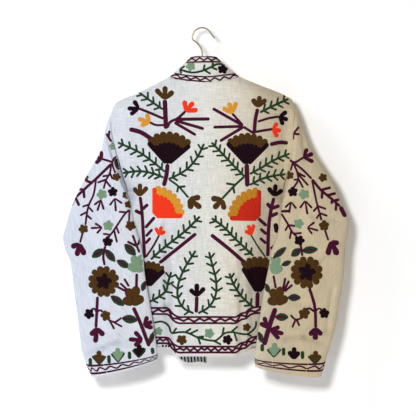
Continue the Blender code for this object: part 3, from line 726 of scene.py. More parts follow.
class Cloth:
    """One cut piece of cloth: a fine grid of points on its surface, thickened inwards to a thin shell."""

    def __init__(self, name, node, surface, across, down, slot, flip=False, tube=False, seams="", grain=""):
        self.name, self.node, self.slot, self.flip, self.tube = name, node, slot, flip, tube
        u, v = np.meshgrid(stations(across), stations(down), indexing="ij")
        self.u, self.v = u[:, 0], v[0]
        self.points = np.stack(surface(u, v), axis=-1)
        self.grain_map = self.map_grain(grain)
        self.draw_in(seams)
        self.outward = self.normals()

    def normals(self):
        along_u = np.gradient(self.points, axis=0)
        if self.tube:
            ring = self.points[:-1]
            around = (np.roll(ring, -1, axis=0) - np.roll(ring, 1, axis=0)) / 2
            along_u = np.concatenate([around, around[:1]])
        normal = np.cross(along_u, np.gradient(self.points, axis=1))
        normal /= np.maximum(np.linalg.norm(normal, axis=-1, keepdims=True), 1e-12)
        return -normal if self.flip else normal

    def map_grain(self, grain):
        """Places on the flat cloth in metres, so that the weave runs with the cut."""
        if grain == "hanging":
            return self.points[..., (0, 2)]
        widths = lengths_from_start(self.points, 0)
        lengths = lengths_from_start(self.points, 1)
        if grain == "round":
            middle = widths[-1] / 2
            return np.stack([widths - middle, -lengths], axis=-1)
        return np.stack([widths, -lengths.mean(axis=0) + 0 * widths], axis=-1)

    def draw_in(self, seams):
        """Sinks the cloth a little along its seams, with the small puckers that the thread pulls."""
        widths = lengths_from_start(self.points, 0)
        lengths = lengths_from_start(self.points, 1)
        far = {"left": widths, "right": widths[-1:] - widths, "top": lengths}
        run = {"left": lengths, "right": lengths, "top": widths}
        outward = self.normals()
        for seam in seams.split():
            sunk = SEAM_SINK * np.exp(-((far[seam] / SEAM_REACH) ** 2))
            ripple = SHORT_RIPPLE_SHARE * np.sin(run[seam] / SHORT_RIPPLE + SHORT_RIPPLE_START)
            wave = (np.sin(run[seam] / LONG_RIPPLE) + ripple) / (1 + SHORT_RIPPLE_SHARE)
            pucker = PUCKER * (1 + wave) / 2 * np.exp(-((far[seam] / PUCKER_REACH) ** 2))
            self.points = self.points - outward * (sunk + pucker)[..., None]

    def shell(self, wall):
        """The mesh's points, its four-cornered faces and the cloth place of each corner."""
        columns, rows = self.points.shape[:2]
        kept = columns - 1 if self.tube else columns
        layer = kept * rows
        i, j = every_cell(columns - 1, rows - 1)
        side, end = np.arange(rows - 1), np.arange(columns - 1)
        top, foot = 0 * end, 0 * end + rows - 1
        first, last = 0 * side, 0 * side + columns - 1
        quads = [
            ((i, j, 0), (i + 1, j, 0), (i + 1, j + 1, 0), (i, j + 1, 0)),
            ((i, j + 1, 1), (i + 1, j + 1, 1), (i + 1, j, 1), (i, j, 1)),
            ((end + 1, top, 0), (end, top, 0), (end, top, 1), (end + 1, top, 1)),
            ((end, foot, 0), (end + 1, foot, 0), (end + 1, foot, 1), (end, foot, 1)),
        ]
        if not self.tube:
            quads += [
                ((first, side, 0), (first, side + 1, 0), (first, side + 1, 1), (first, side, 1)),
                ((last, side + 1, 0), (last, side, 0), (last, side, 1), (last, side + 1, 1)),
            ]
        faces, places = [], []
        grain = self.grain_map.reshape(-1, 2)
        for quad in quads:
            faces.append(np.stack([(a % kept) * rows + b + c * layer for a, b, c in quad], axis=-1))
            places.append(np.stack([grain[a * rows + b] for a, b, _ in quad], axis=1))
        faces, places = np.concatenate(faces), np.concatenate(places)
        if self.flip:
            faces, places = faces[:, ::-1], places[:, ::-1]
        outer = self.points[:kept].reshape(-1, 3)
        inner = outer - self.outward[:kept].reshape(-1, 3) * wall
        return np.concatenate([outer, inner]), faces, places

    def build(self, finish, wall):
        points, faces, places = self.shell(wall)
        made = mesh_object(self.name, points, faces, places, finish)
        made.data.set_sharp_from_angle(angle=SHARP_EDGE)
        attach(made, BODY)
        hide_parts(self.node)
        return made


def mesh_object(name, points, faces, places, *finishes):
    mesh = bpy.data.meshes.new(name)
    mesh.from_pydata(points.tolist(), [], faces.tolist())
    layer = mesh.uv_layers.new(name="cloth_places")
    layer.data.foreach_set("uv", np.ascontiguousarray(places, dtype=np.float32).ravel())
    for finish in finishes:
        mesh.materials.append(finish)
    mesh.shade_smooth()
    return placed(name, mesh)


@functools.lru_cache(maxsize=None)
def cloth(name):
    """The grid of a cloth piece, which its stitching is laid on as well."""
    left = "left" in name
    side = "left" if left else "right"
    if name == "back_cloth":
        return Cloth(name, "back_panel", back_panel, *GRIDS["back"], "slub_cotton", flip=True,
                     seams="left right top", grain="hanging")
    if name.startswith("front"):
        surface = functools.partial(front_panel, left=left)
        return Cloth(name, "front_" + side, surface, *GRIDS["front"], "slub_cotton", flip=left,
                     seams="left right top", grain="hanging")
    if name.startswith("sleeve"):
        surface = functools.partial(sleeve, left=left)
        return Cloth(name, "sleeve_" + side, surface, *GRIDS["sleeve"], "slub_cotton", flip=left, tube=True,
                     seams="top", grain="round")
    if name.startswith("band"):
        surface = functools.partial(front_band, left=left)
        return Cloth(name, "front_band_" + side, surface, *GRIDS["band"], "band_cotton",
                     flip=not left, seams="left top")
    if name == "collar_cloth":
        return Cloth(name, "collar", collar, *GRIDS["collar"], "band_cotton", seams="left right top")
    return Cloth(name, "hem_facing_left", hem_facing, *GRIDS["facing"], "striped_cotton", grain="hanging")


class RayGround:
    """The cloth as seen squarely from behind (near) or from the open front (far)."""

    def __init__(self, piece, near=True):
        columns, rows = piece.points.shape[:2]
        i, j = every_cell(columns - 1, rows - 1)
        corner = i * rows + j
        faces = np.stack([corner, corner + rows, corner + rows + 1, corner + 1], axis=-1)
        self.tree = BVHTree.FromPolygons(piece.points.reshape(-1, 3).tolist(), faces.tolist())
        self.way = 1.0 if near else -1.0

    def lay(self, places):
        """Points on the cloth and the directions out of it, or nan where the cloth isn't."""
        points = np.full((len(places), 3), np.nan)
        outward = np.zeros((len(places), 3))
        direction = Vector((0.0, self.way, 0.0))
        for k, (x, z) in enumerate(places):
            point, normal, _, _ = self.tree.ray_cast(Vector((x, -RAY_START * self.way, z)), direction)
            if point is not None:
                points[k] = point
                outward[k] = -normal if normal.y * self.way > 0 else normal
        return points, outward


class SurfaceGround:
    """The cloth laid out flat: distance across it, and distance down it as a negative height."""

    def __init__(self, piece, width):
        self.piece, self.width = piece, width
        lengths = lengths_from_start(piece.points, 1).mean(axis=0)
        self.lengths = lengths
        self.length = lengths[-1]

    def lay(self, places):
        piece = self.piece
        across, down = places[:, 0] / self.width, -places[:, 1]
        if piece.tube:
            across = across % 1.0
        off = (across < 0) | (across > 1) | (down < 0) | (down > self.length)
        column = np.interp(across, piece.u, np.arange(len(piece.u)))
        row = np.interp(down, self.lengths, np.arange(len(piece.v)))
        i = np.minimum(column.astype(int), len(piece.u) - 2)
        j = np.minimum(row.astype(int), len(piece.v) - 2)
        s, t = (column - i)[:, None], (row - j)[:, None]

        def blend(grid):
            low = grid[i, j] * (1 - s) + grid[i + 1, j] * s
            high = grid[i, j + 1] * (1 - s) + grid[i + 1, j + 1] * s
            return low * (1 - t) + high * t

        points = blend(piece.points)
        points[off] = np.nan
        return points, blend(piece.outward)


def turned(vector, degrees):
    """The vector turned clockwise on the chart, where rows count downwards."""
    angle = math.radians(degrees)
    x, y = vector
    return np.array((x * math.cos(angle) - y * math.sin(angle), x * math.sin(angle) + y * math.cos(angle)))


class Path:
    """A smooth line through places on a chart."""

    def __init__(self, places):
        self.places = np.array(places, dtype=float)
        steps = np.linalg.norm(np.diff(self.places, axis=0), axis=1)
        self.knots = np.concatenate([[0.0], np.cumsum(steps)])
        self.length = self.knots[-1]

    def at(self, distance):
        distance = np.asarray(distance, dtype=float)
        x = through(self.knots, self.places[:, 0], distance)
        y = through(self.knots, self.places[:, 1], distance)
        return np.stack([x, y], axis=-1)

    def heading(self, distance):
        reach = self.length / 200
        ahead = self.at(np.minimum(distance + reach, self.length))
        behind = self.at(np.maximum(distance - reach, 0.0))
        way = ahead - behind
        return way / np.linalg.norm(way, axis=-1, keepdims=True)

    def nearest(self, place):
        tries = np.linspace(0.0, self.length, 60)
        gaps = np.linalg.norm(self.at(tries) - np.array(place), axis=1)
        return tries[np.argmin(gaps)], gaps.min()


class Chart:
    """Strokes of chain stitch, gathered motif by motif in squares and laid on cloth at the end."""

    def __init__(self, square=CHART_SQUARE, origin=CHART_ORIGIN, seed=5):
        self.square, self.origin = square, np.array(origin)
        self.strokes = []
        self.chance = np.random.default_rng(seed)

    def stroke(self, thread, width, *places, shape="bar", level=0):
        path = Path(places)
        self.strokes.append((thread, width, path, shape, level))

    def work(self, rows, shift=0.0):
        """Works a table of motifs: each row is a motif's name and then what it is made from."""
        first = len(self.strokes)
        for motif, *made_from in rows:
            getattr(self, motif)(*made_from)
        for k in range(first, len(self.strokes)):
            thread, width, path, shape, level = self.strokes[k]
            self.strokes[k] = (thread, width, Path(path.places + np.array((shift, 0.0))), shape, level)

    def branch(self, thread, width, places, ends):
        """A stem with a twig to each end, which leaves the stem further back."""
        path = Path(places)
        self.stroke(thread, width, *places)
        for end in ends:
            distance, gap = path.nearest(end)
            start = path.at(max(distance - TWIG_SETBACK * gap, 0.0))
            self.stroke(thread, width, start, end)

    def fern(self, pairs, *places):
        """A stem with pairs of leaflets that lean towards its tip."""
        path = Path(places)
        self.stroke("green", FERN_STEM, *places)
        spacing = path.length / (pairs + 0.35)
        for k in range(pairs):
            distance = spacing * (k + 0.55)
            start, way = path.at(distance), path.heading(distance)
            size = FERN_REACH * (0.86 + 0.14 * math.sin(math.pi * (k + 0.6) / pairs))
            for lean in (-LEAFLET_LEAN, LEAFLET_LEAN):
                spread = turned(way, lean + self.chance.uniform(-5, 5))
                tip = start + spread * size * self.chance.uniform(0.9, 1.08)
                self.stroke("green", FERN_WIDTH, start, tip)

    def blossom(self, thread, width, base, *tips):
        for tip in tips:
            self.stroke(thread, width * PETAL_SPREAD, base, tip, shape="petal")

    def heart(self, thread, centre, radius, level=0):
        """A short stroke across the middle, which fills the gap between the lobes."""
        half = (radius * HEART_REACH, 0.0)
        self.stroke(thread, radius * HEART_WIDTH, centre - half, centre + half, level=level)

    def flower(self, thread, centre, radius):
        centre = np.array(centre)
        turn = self.chance.uniform(0, 90)
        for k in range(FLOWER_LOBES):
            way = turned(UP, turn + k * 360 / FLOWER_LOBES + self.chance.uniform(-6, 6))
            start, tip = centre + way * radius * LOBE_START, centre + way * radius * LOBE_REACH
            self.stroke(thread, radius * LOBE_WIDTH, start, tip)
        self.heart(thread, centre, radius)

    def rosette(self, thread, centre, radius, core):
        """A ring of petals round a dark core of lobes."""
        centre = np.array(centre)
        for k in range(ROSETTE_PETALS):
            way = turned(UP, ROSETTE_TURN + k * 360 / ROSETTE_PETALS + self.chance.uniform(-2, 2))
            self.stroke(thread, radius * ROSETTE_WIDTH, centre, centre + way * radius, shape="ray")
        for k in range(CORE_LOBES):
            way = turned(UP, CORE_TURN + k * 360 / CORE_LOBES)
            start, tip = centre + way * core * CORE_START, centre + way * core * CORE_REACH
            self.stroke("dark", core * CORE_WIDTH, start, tip, level=1)
        self.heart("dark", centre, core, level=1)

    def leaf(self, thread, width, base, tip):
        """A pointed leaf with a plum vein."""
        base, tip = np.array(base, dtype=float), np.array(tip, dtype=float)
        self.stroke(thread, width, base, tip, shape="leaf")
        start, end = base + (tip - base) * VEIN_START, base + (tip - base) * VEIN_END
        self.stroke("plum", width * VEIN_WIDTH, start, end, level=1)

    def fan(self, point, heading, spread, crown, body, wings, crown_thread, body_thread):
        """A fan of rays: a scalloped crown, a body on it and a bar on each side."""
        point = np.array(point, dtype=float)
        half_ray = math.radians(spread / FAN_RAYS)
        layers = ((crown_thread, crown, FAN_CROWN_LAP), (body_thread, body, FAN_BODY_LAP))
        for level, (thread, reach, lap) in enumerate(layers):
            for k in range(FAN_RAYS):
                way = turned(UP, heading + spread * (2 * k + 1 - FAN_RAYS) / FAN_RAYS)
                width = 2 * reach * math.sin(half_ray) * lap
                self.stroke(thread, width, point, point + way * reach, shape="ray", level=level)
        for side in (-1, 1):
            way = turned(UP, heading + side * (spread + 1))
            self.stroke(body_thread, WING, point + way * WING_START, point + way * wings, level=2)

    def border(self, upper, lower, periods, line=1.6, wave=1.6):
        """Two lines with a wave between them."""
        upper, lower = Path(upper), Path(lower)
        for path in (upper, lower):
            self.stroke("plum", line, *path.places)
        peaks = 2 * periods + 1
        knots = []
        for k in range(peaks):
            share = (k + 0.001) / (peaks - 1)
            top, foot = upper.at(share * upper.length), lower.at(share * lower.length)
            knots.append(foot + (top - foot) * (WAVE_HIGH if k % 2 else WAVE_LOW))
        self.stroke("plum", wave, *knots)

    def stitch_points(self, stroke, height):
        """A stroke's points on the flat, their heights above the cloth and their places in the stitching."""
        _, width, path, shape, level = stroke
        length = path.length * self.square
        radius = min(width * self.square / 2 * self.chance.uniform(*WIDTH_CHANCE), length / 2)
        caps = radius * (1 - np.cos(CAP_TURNS))
        middle = max(int((length - 2 * radius) / STITCH_STEP), 1)
        between = np.linspace(radius, length - radius, middle + 1)[1:-1]
        along = np.concatenate([caps, between, (length - caps)[::-1]])
        rounding = np.concatenate([np.sin(CAP_TURNS), np.ones(len(between)), np.sin(CAP_TURNS)[::-1]])
        share = along / length
        petal_base, petal_gain, petal_speed = PETAL_GROWTH
        ray_base, ray_gain = RAY_GROWTH
        leaf_start, leaf_run, leaf_power = LEAF_TAPER
        profiles = {
            "bar": rounding,
            "petal": rounding * (petal_base + petal_gain * np.minimum(share * petal_speed, 1.0)),
            "ray": np.minimum(rounding + (share < 0.5), 1.0) * (ray_base + ray_gain * share),
            "leaf": np.sin(np.pi * (leaf_start + leaf_run * share)) ** leaf_power,
        }
        half = profiles[shape] * radius * EDGE_SPREAD
        flat = self.on_cloth(path.at(along / self.square))
        way = path.heading(along / self.square)
        side = np.stack([way[:, 1], way[:, 0]], axis=-1)
        offsets = STROKE_ACROSS[None, :] * half[:, None]
        places = flat[:, None, :] + side[:, None, :] * offsets[..., None]
        domed = height * (END_HEIGHT + (1 - END_HEIGHT) * rounding)
        crest = domed * min(1.0, THIN_HEIGHT + radius / FULL_HEIGHT_WIDTH) + level * LEVEL_RISE
        lift = crest[:, None] * STROKE_HEIGHTS[None, :] - STROKE_SINK * (STROKE_HEIGHTS[None, :] == 0)
        stitch = np.stack([along[:, None] + 0 * offsets, offsets], axis=-1)
        return places, lift, stitch

    def on_cloth(self, places):
        x = (places[..., 0] - self.origin[0]) * self.square
        z = (self.origin[1] - places[..., 1]) * self.square
        return np.stack([x, z], axis=-1)

    def lay_on(self, ground, gathered, height):
        """Lays every stroke on the ground and adds its mesh to what is gathered for the whole piece."""
        for stroke in self.strokes:
            places, lift, stitch = self.stitch_points(stroke, height)
            count = len(places)
            points, outward = ground.lay(places.reshape(-1, 2))
            there = np.isfinite(points[:, 0])
            long = stroke[2].length * self.square > LONG_STROKE
            if there.mean() < (LONG_HIT_SHARE if long else HIT_SHARE):
                continue
            points = points + outward * lift.reshape(-1, 1)
            edges = len(STROKE_ACROSS)
            i, j = every_cell(count - 1, edges - 1)
            corner = i * edges + j
            faces = np.stack([corner, corner + 1, corner + edges + 1, corner + edges], axis=-1)
            faces = faces[there[faces].all(axis=1)]
            if len(faces) == 0:
                continue
            first, second, third = (points[faces[:, k]] for k in (0, 1, 2))
            normal = np.cross(second - first, third - second)
            if np.sum(normal * outward[faces[:, 0]]) < 0:
                faces = faces[:, ::-1]
            used = np.unique(faces)
            number = np.zeros(len(points), dtype=int)
            number[used] = np.arange(len(used))
            gathered.add(points[used], number[faces], stitch.reshape(-1, 2)[faces], stroke[0])


class Gathered:
    """Stroke meshes that are joined into one piece, with a material for each thread."""

    def __init__(self):
        self.points, self.faces, self.places, self.threads, self.total = [], [], [], [], 0

    def add(self, points, faces, places, thread):
        self.points.append(points)
        self.faces.append(faces + self.total)
        self.places.append(places)
        self.threads.append((thread, len(faces)))
        self.total += len(points)

    def build(self, name, threads):
        used = sorted({thread for thread, _ in self.threads})
        made = mesh_object(
            name,
            np.concatenate(self.points),
            np.concatenate(self.faces),
            np.concatenate(self.places),
            *[threads[thread] for thread in used],
        )
        numbers = np.concatenate([np.full(count, used.index(thread)) for thread, count in self.threads])
        made.data.polygons.foreach_set("material_index", numbers.astype(np.int32))
        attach(made, BODY)
        return made


# The designs, charted in squares: column and row as seen from behind. Each row is a motif's name
# and what it is worked from: thread, width, then the places that it runs through or reaches
COLLAR_DESIGN = (
    ("border", ((190, 58.3), (200, 57.1), (218, 57.9)), ((186, 62.8), (202, 62.5), (221, 62.2)), 4),
    ("branch", "green", 2.1,
     ((179.5, 69.7), (184, 71.3), (192, 73.2), (203, 71.3), (211, 67.8), (217, 64.8), (222.7, 64.4)),
     ((185, 66.3), (181.4, 74.3), (204.7, 65.1), (210.8, 74.7), (213, 62.8), (217.3, 70.5))),
    ("flower", "sage", (190.7, 67.1), 4.5),
    ("flower", "dark", (222.7, 69.7), 4.8),
    ("border", ((174.5, 73.6), (183, 75.5), (196, 77), (209.7, 77.4), (222.7, 75.9), (236.5, 73.9)),
     ((169.5, 77), (180.6, 79.7), (196, 81.6), (215, 82.7), (228, 81.2), (240.3, 77.4)), 7),
)

BACK_LEFT_TREE = (
    ("blossom", "brown", 4.6, (165, 99.7), (155.9, 89.4), (165.3, 86.5), (173.6, 91.7)),
    ("stroke", "plum", 4.8, (165, 100), (166.2, 129.5)),
    ("fern", 4, (163.3, 110), (151, 101.5), (138, 91.7)),
    ("blossom", "dark", 4.0, (139.2, 108.9), (134, 100.8), (127.7, 108.9), (130.6, 115.2)),
    ("stroke", "plum", 2.6, (139.2, 108.9), (150.7, 113.5), (163.9, 119.2)),
    ("blossom", "mustard", 4.0, (150.1, 122.7), (146.7, 114), (138.1, 119.2), (140.9, 126.1)),
    ("stroke", "plum", 2.4, (150.1, 122.7), (155.3, 125.2), (164.5, 125.5)),
    ("blossom", "red", 4.4, (185.7, 111.7), (184.6, 100.8), (193.7, 102.6), (197.8, 110.3)),
    ("stroke", "plum", 2.8, (185.7, 111.7), (177.1, 119.2), (170.2, 122.7), (167.3, 128.4)),
    ("stroke", "plum", 3.2, (175.4, 119.8), (209.8, 119.4)),
    ("stroke", "plum", 3.0, (175.4, 121), (204, 129.3)),
    ("stroke", "plum", 3.0, (174.4, 122.8), (196, 135.5)),
    ("stroke", "plum", 4.6, (129.5, 129.5), (140.4, 132.4), (151.8, 139.3)),
    ("fan", (167.9, 164), 4, 45, 32.5, 22, 29, "brown", "dark"),
    ("stroke", "plum", 4.3, (167.9, 164), (166.5, 176), (163.9, 186.4)),
    ("fern", 7, (165, 172), (154.1, 162.8), (140.4, 153.1), (118, 142.7)),
    ("fern", 6, (163.9, 177.8), (155.3, 174.3), (140.4, 171.4), (123.1, 173.2)),
    ("fern", 6, (168.5, 179.5), (178.2, 174.9), (187.4, 169.1), (198.9, 154.8), (204.1, 143.9)),
    ("branch", "green", 2.2, ((169.1, 179.5), (177.1, 185.2), (188.6, 197.8)),
     ((185.7, 186.4), (177.1, 192.7))),
    ("blossom", "brown", 5.0, (189.1, 199), (200.6, 197.3), (201.2, 208.2), (191.4, 209.3)),
    ("fan", (155, 215.6), 45, 44, 30, 22, 28, "mustard", "red"),
    ("blossom", "brown", 4.0, (139.8, 196.1), (134, 187.5), (140.4, 183.5), (147.8, 187)),
    ("branch", "plum", 3.4, ((144.8, 258.2), (143.6, 233.9), (141.2, 202), (140.4, 196.7)),
     ((135.1, 210.3), (148.5, 204.2))),
    ("stroke", "plum", 3.2, (155.1, 217), (145.4, 227.9)),
    ("stroke", "plum", 2.8, (152.7, 229.1), (146, 236.4)),
    ("stroke", "plum", 2.8, (150.9, 237.6), (145.4, 243.6)),
    ("blossom", "red", 3.4, (159.4, 235.1), (155.8, 227.4), (161.8, 226), (165.6, 231)),
    ("stroke", "plum", 2.2, (159.4, 235.1), (153.5, 246), (146, 257)),
    ("fern", 8, (150.9, 259.4), (163, 248.5), (173.9, 240), (186, 230.3), (200, 216.4)),
    ("stroke", "plum", 3.4, (196.3, 233.3), (159.4, 263)),
    ("fan", (147.9, 286), 2, 42, 25.5, 18.5, 23, "brown", "dark"),
    ("fern", 5, (149, 301.8), (158.2, 297), (166.6, 289.7), (168, 283), (171.5, 271.5)),
)

BACK_RIGHT_TREE = (
    ("blossom", "mustard", 4.2, (232.1, 114), (222.4, 108.3), (228.7, 103.1), (236.2, 102.6)),
    ("stroke", "plum", 2.6, (232.1, 114), (242.5, 125.5)),
    ("stroke", "plum", 3.0, (243, 126.1), (212.6, 108.9)),
    ("stroke", "plum", 3.0, (243, 126.8), (213.2, 127.6)),
    ("stroke", "plum", 3.0, (243, 127.5), (219.7, 141.6)),
    ("stroke", "plum", 2.8, (243, 127), (253.4, 133.6)),
    ("blossom", "brown", 4.4, (257.4, 107.7), (252.2, 99.1), (259.7, 96.3), (266, 99.7)),
    ("stroke", "plum", 3.7, (257.4, 108.9), (255.1, 120.4), (254, 134.1)),
    ("fern", 4, (259.7, 112.9), (273.5, 106), (288.4, 99.1)),
    ("blossom", "dark", 4.0, (279.2, 116.9), (286.7, 111.7), (287.8, 120.4), (283, 125.5)),
    ("stroke", "plum", 2.6, (279.2, 116.9), (268.9, 118.6), (257.4, 122.1)),
    ("blossom", "red", 4.0, (272.3, 129.5), (277.2, 123.2), (280.9, 131.3), (277.2, 137.6)),
    ("stroke", "plum", 2.6, (272.3, 129.5), (264.3, 130.7), (255.1, 132.4)),
    ("stroke", "plum", 3.9, (269.5, 145), (280.4, 142.7), (287.8, 143.3)),
    ("fan", (247.1, 164.5), 1, 43, 31.5, 21.5, 29.5, "brown", "dark"),
    ("stroke", "plum", 4.8, (246.5, 164), (247.1, 186.9)),
    ("fern", 7, (244.2, 176.6), (233.5, 165.8), (223, 154.8), (211.5, 142.7)),
    ("fern", 6, (249.4, 174.3), (262, 167.4), (273.5, 160.5), (289.5, 153.7)),
    ("fern", 5, (249.4, 185.2), (262, 178.9), (273.5, 176), (285.5, 174.3)),
    ("branch", "green", 2.2, ((244.2, 176.6), (235.6, 184.6), (221.8, 199)),
     ((225.8, 183.5), (234.4, 193.8))),
    ("blossom", "brown", 5.0, (222.4, 199.6), (211, 198.4), (213.5, 208.6), (224.1, 209.9)),
    # This fan takes the red and the mustard darkened with painted shade
    ("fan", (258, 218.4), 316, 44, 31, 22, 28.5, "mustard_deep", "red_deep"),
    ("blossom", "dark", 4.2, (274, 196.1), (267.9, 187.5), (275.5, 184.2), (282.6, 189.8)),
    ("branch", "plum", 3.8, ((267.6, 256.5), (269.5, 218.3), (271.5, 207), (273.7, 197.6)),
     ((266.5, 203), (279.5, 205.6), (278, 212.9))),
    ("stroke", "plum", 3.4, (258, 218.3), (266.5, 225.9)),
    ("stroke", "plum", 3.0, (260, 228.6), (266.5, 234.3)),
    ("stroke", "plum", 3.0, (259.6, 237.8), (266.1, 243.5)),
    ("stroke", "plum", 3.0, (281.8, 239.7), (270.3, 248.9)),
    ("stroke", "dark", 5.0, (275.3, 223), (276.8, 233)),
    ("blossom", "red", 3.4, (250.9, 235.1), (244.8, 230.3), (248, 224.8), (253.7, 224.2)),
    ("stroke", "green", 1.7, (250.9, 235.1), (257.5, 246), (265.4, 257)),
    ("fern", 8, (253.3, 255.7), (244.5, 247.5), (236.4, 240), (221.8, 225.4), (211.5, 218.2)),
    ("stroke", "plum", 3.9, (210.9, 234.5), (228, 248), (245.4, 263)),
    ("fan", (257.6, 292.1), 4, 34, 36, 26.5, 29, "brown", "dark"),
    ("stroke", "plum", 4.0, (257.6, 292), (257, 307.2)),
    ("fern", 6, (253.3, 307.2), (241.2, 295.7), (234, 285), (229.1, 272.7)),
)

BACK_MIDDLE = (
    ("fern", 8, (193.9, 312.7), (184.5, 308), (178.3, 298), (178.1, 286), (182.4, 272.7), (195.7, 250.3)),
    ("fern", 8, (198.1, 312.7), (208.5, 306.6), (215.1, 296), (215.8, 278.8), (212.1, 264.2), (209, 251.5)),
    ("blossom", "dark", 4.2, (196.9, 295.7), (190, 288.5), (196.9, 283), (204.8, 287.2)),
    ("stroke", "plum", 3.6, (196.9, 295.7), (196.3, 312.1)),
    ("branch", "green", 2.1,
     ((154.2, 322.3), (162.7, 321.4), (168.9, 325.9), (171.5, 332), (179.6, 331.3), (185, 331.3),
      (190.4, 333), (195.7, 335.7), (202, 337.9), (210.9, 339.7), (215.4, 339.7), (219.8, 336.6),
      (224.3, 332.6), (232.3, 331.3), (240.4, 333), (246.6, 333.5), (251, 331.3), (255.5, 325.9),
      (256, 320.5)),
     ((177, 326.8), (191.3, 327.7), (198.4, 329), (200.6, 343.8), (223.8, 326.3), (237.7, 325.4),
      (236.8, 340.6), (221.2, 343.8), (251.5, 335.7))),
    ("stroke", "green", 2.7, (196.6, 337), (204.2, 335.7)),
    ("flower", "brown", (181.9, 339), 5.0),
    ("flower", "sage", (209.1, 332.6), 4.8),
    ("flower", "dark", (227.4, 338.8), 4.8),
    ("flower", "brown", (246.6, 326.8), 4.0),
    ("flower", "sage", (158.7, 330.8), 4.0),
    # Short dark strokes on the hem's margin, left of its step, for the thin striped edge there
    ("stroke", "dark", 0.9, (159.7, 346.6), (160.1, 345.8)),
    ("stroke", "dark", 2.0, (162.5, 346.9), (163.4, 344.2)),
    ("stroke", "dark", 2.0, (165.7, 346.9), (166.6, 344.2)),
    ("stroke", "dark", 2.0, (168.4, 346.8), (169.2, 344.6)),
    ("stroke", "dark", 0.8, (171.2, 347.6), (173.0, 349.0)),
    ("stroke", "dark", 0.8, (174.2, 350.2), (176.2, 352.4)),
)

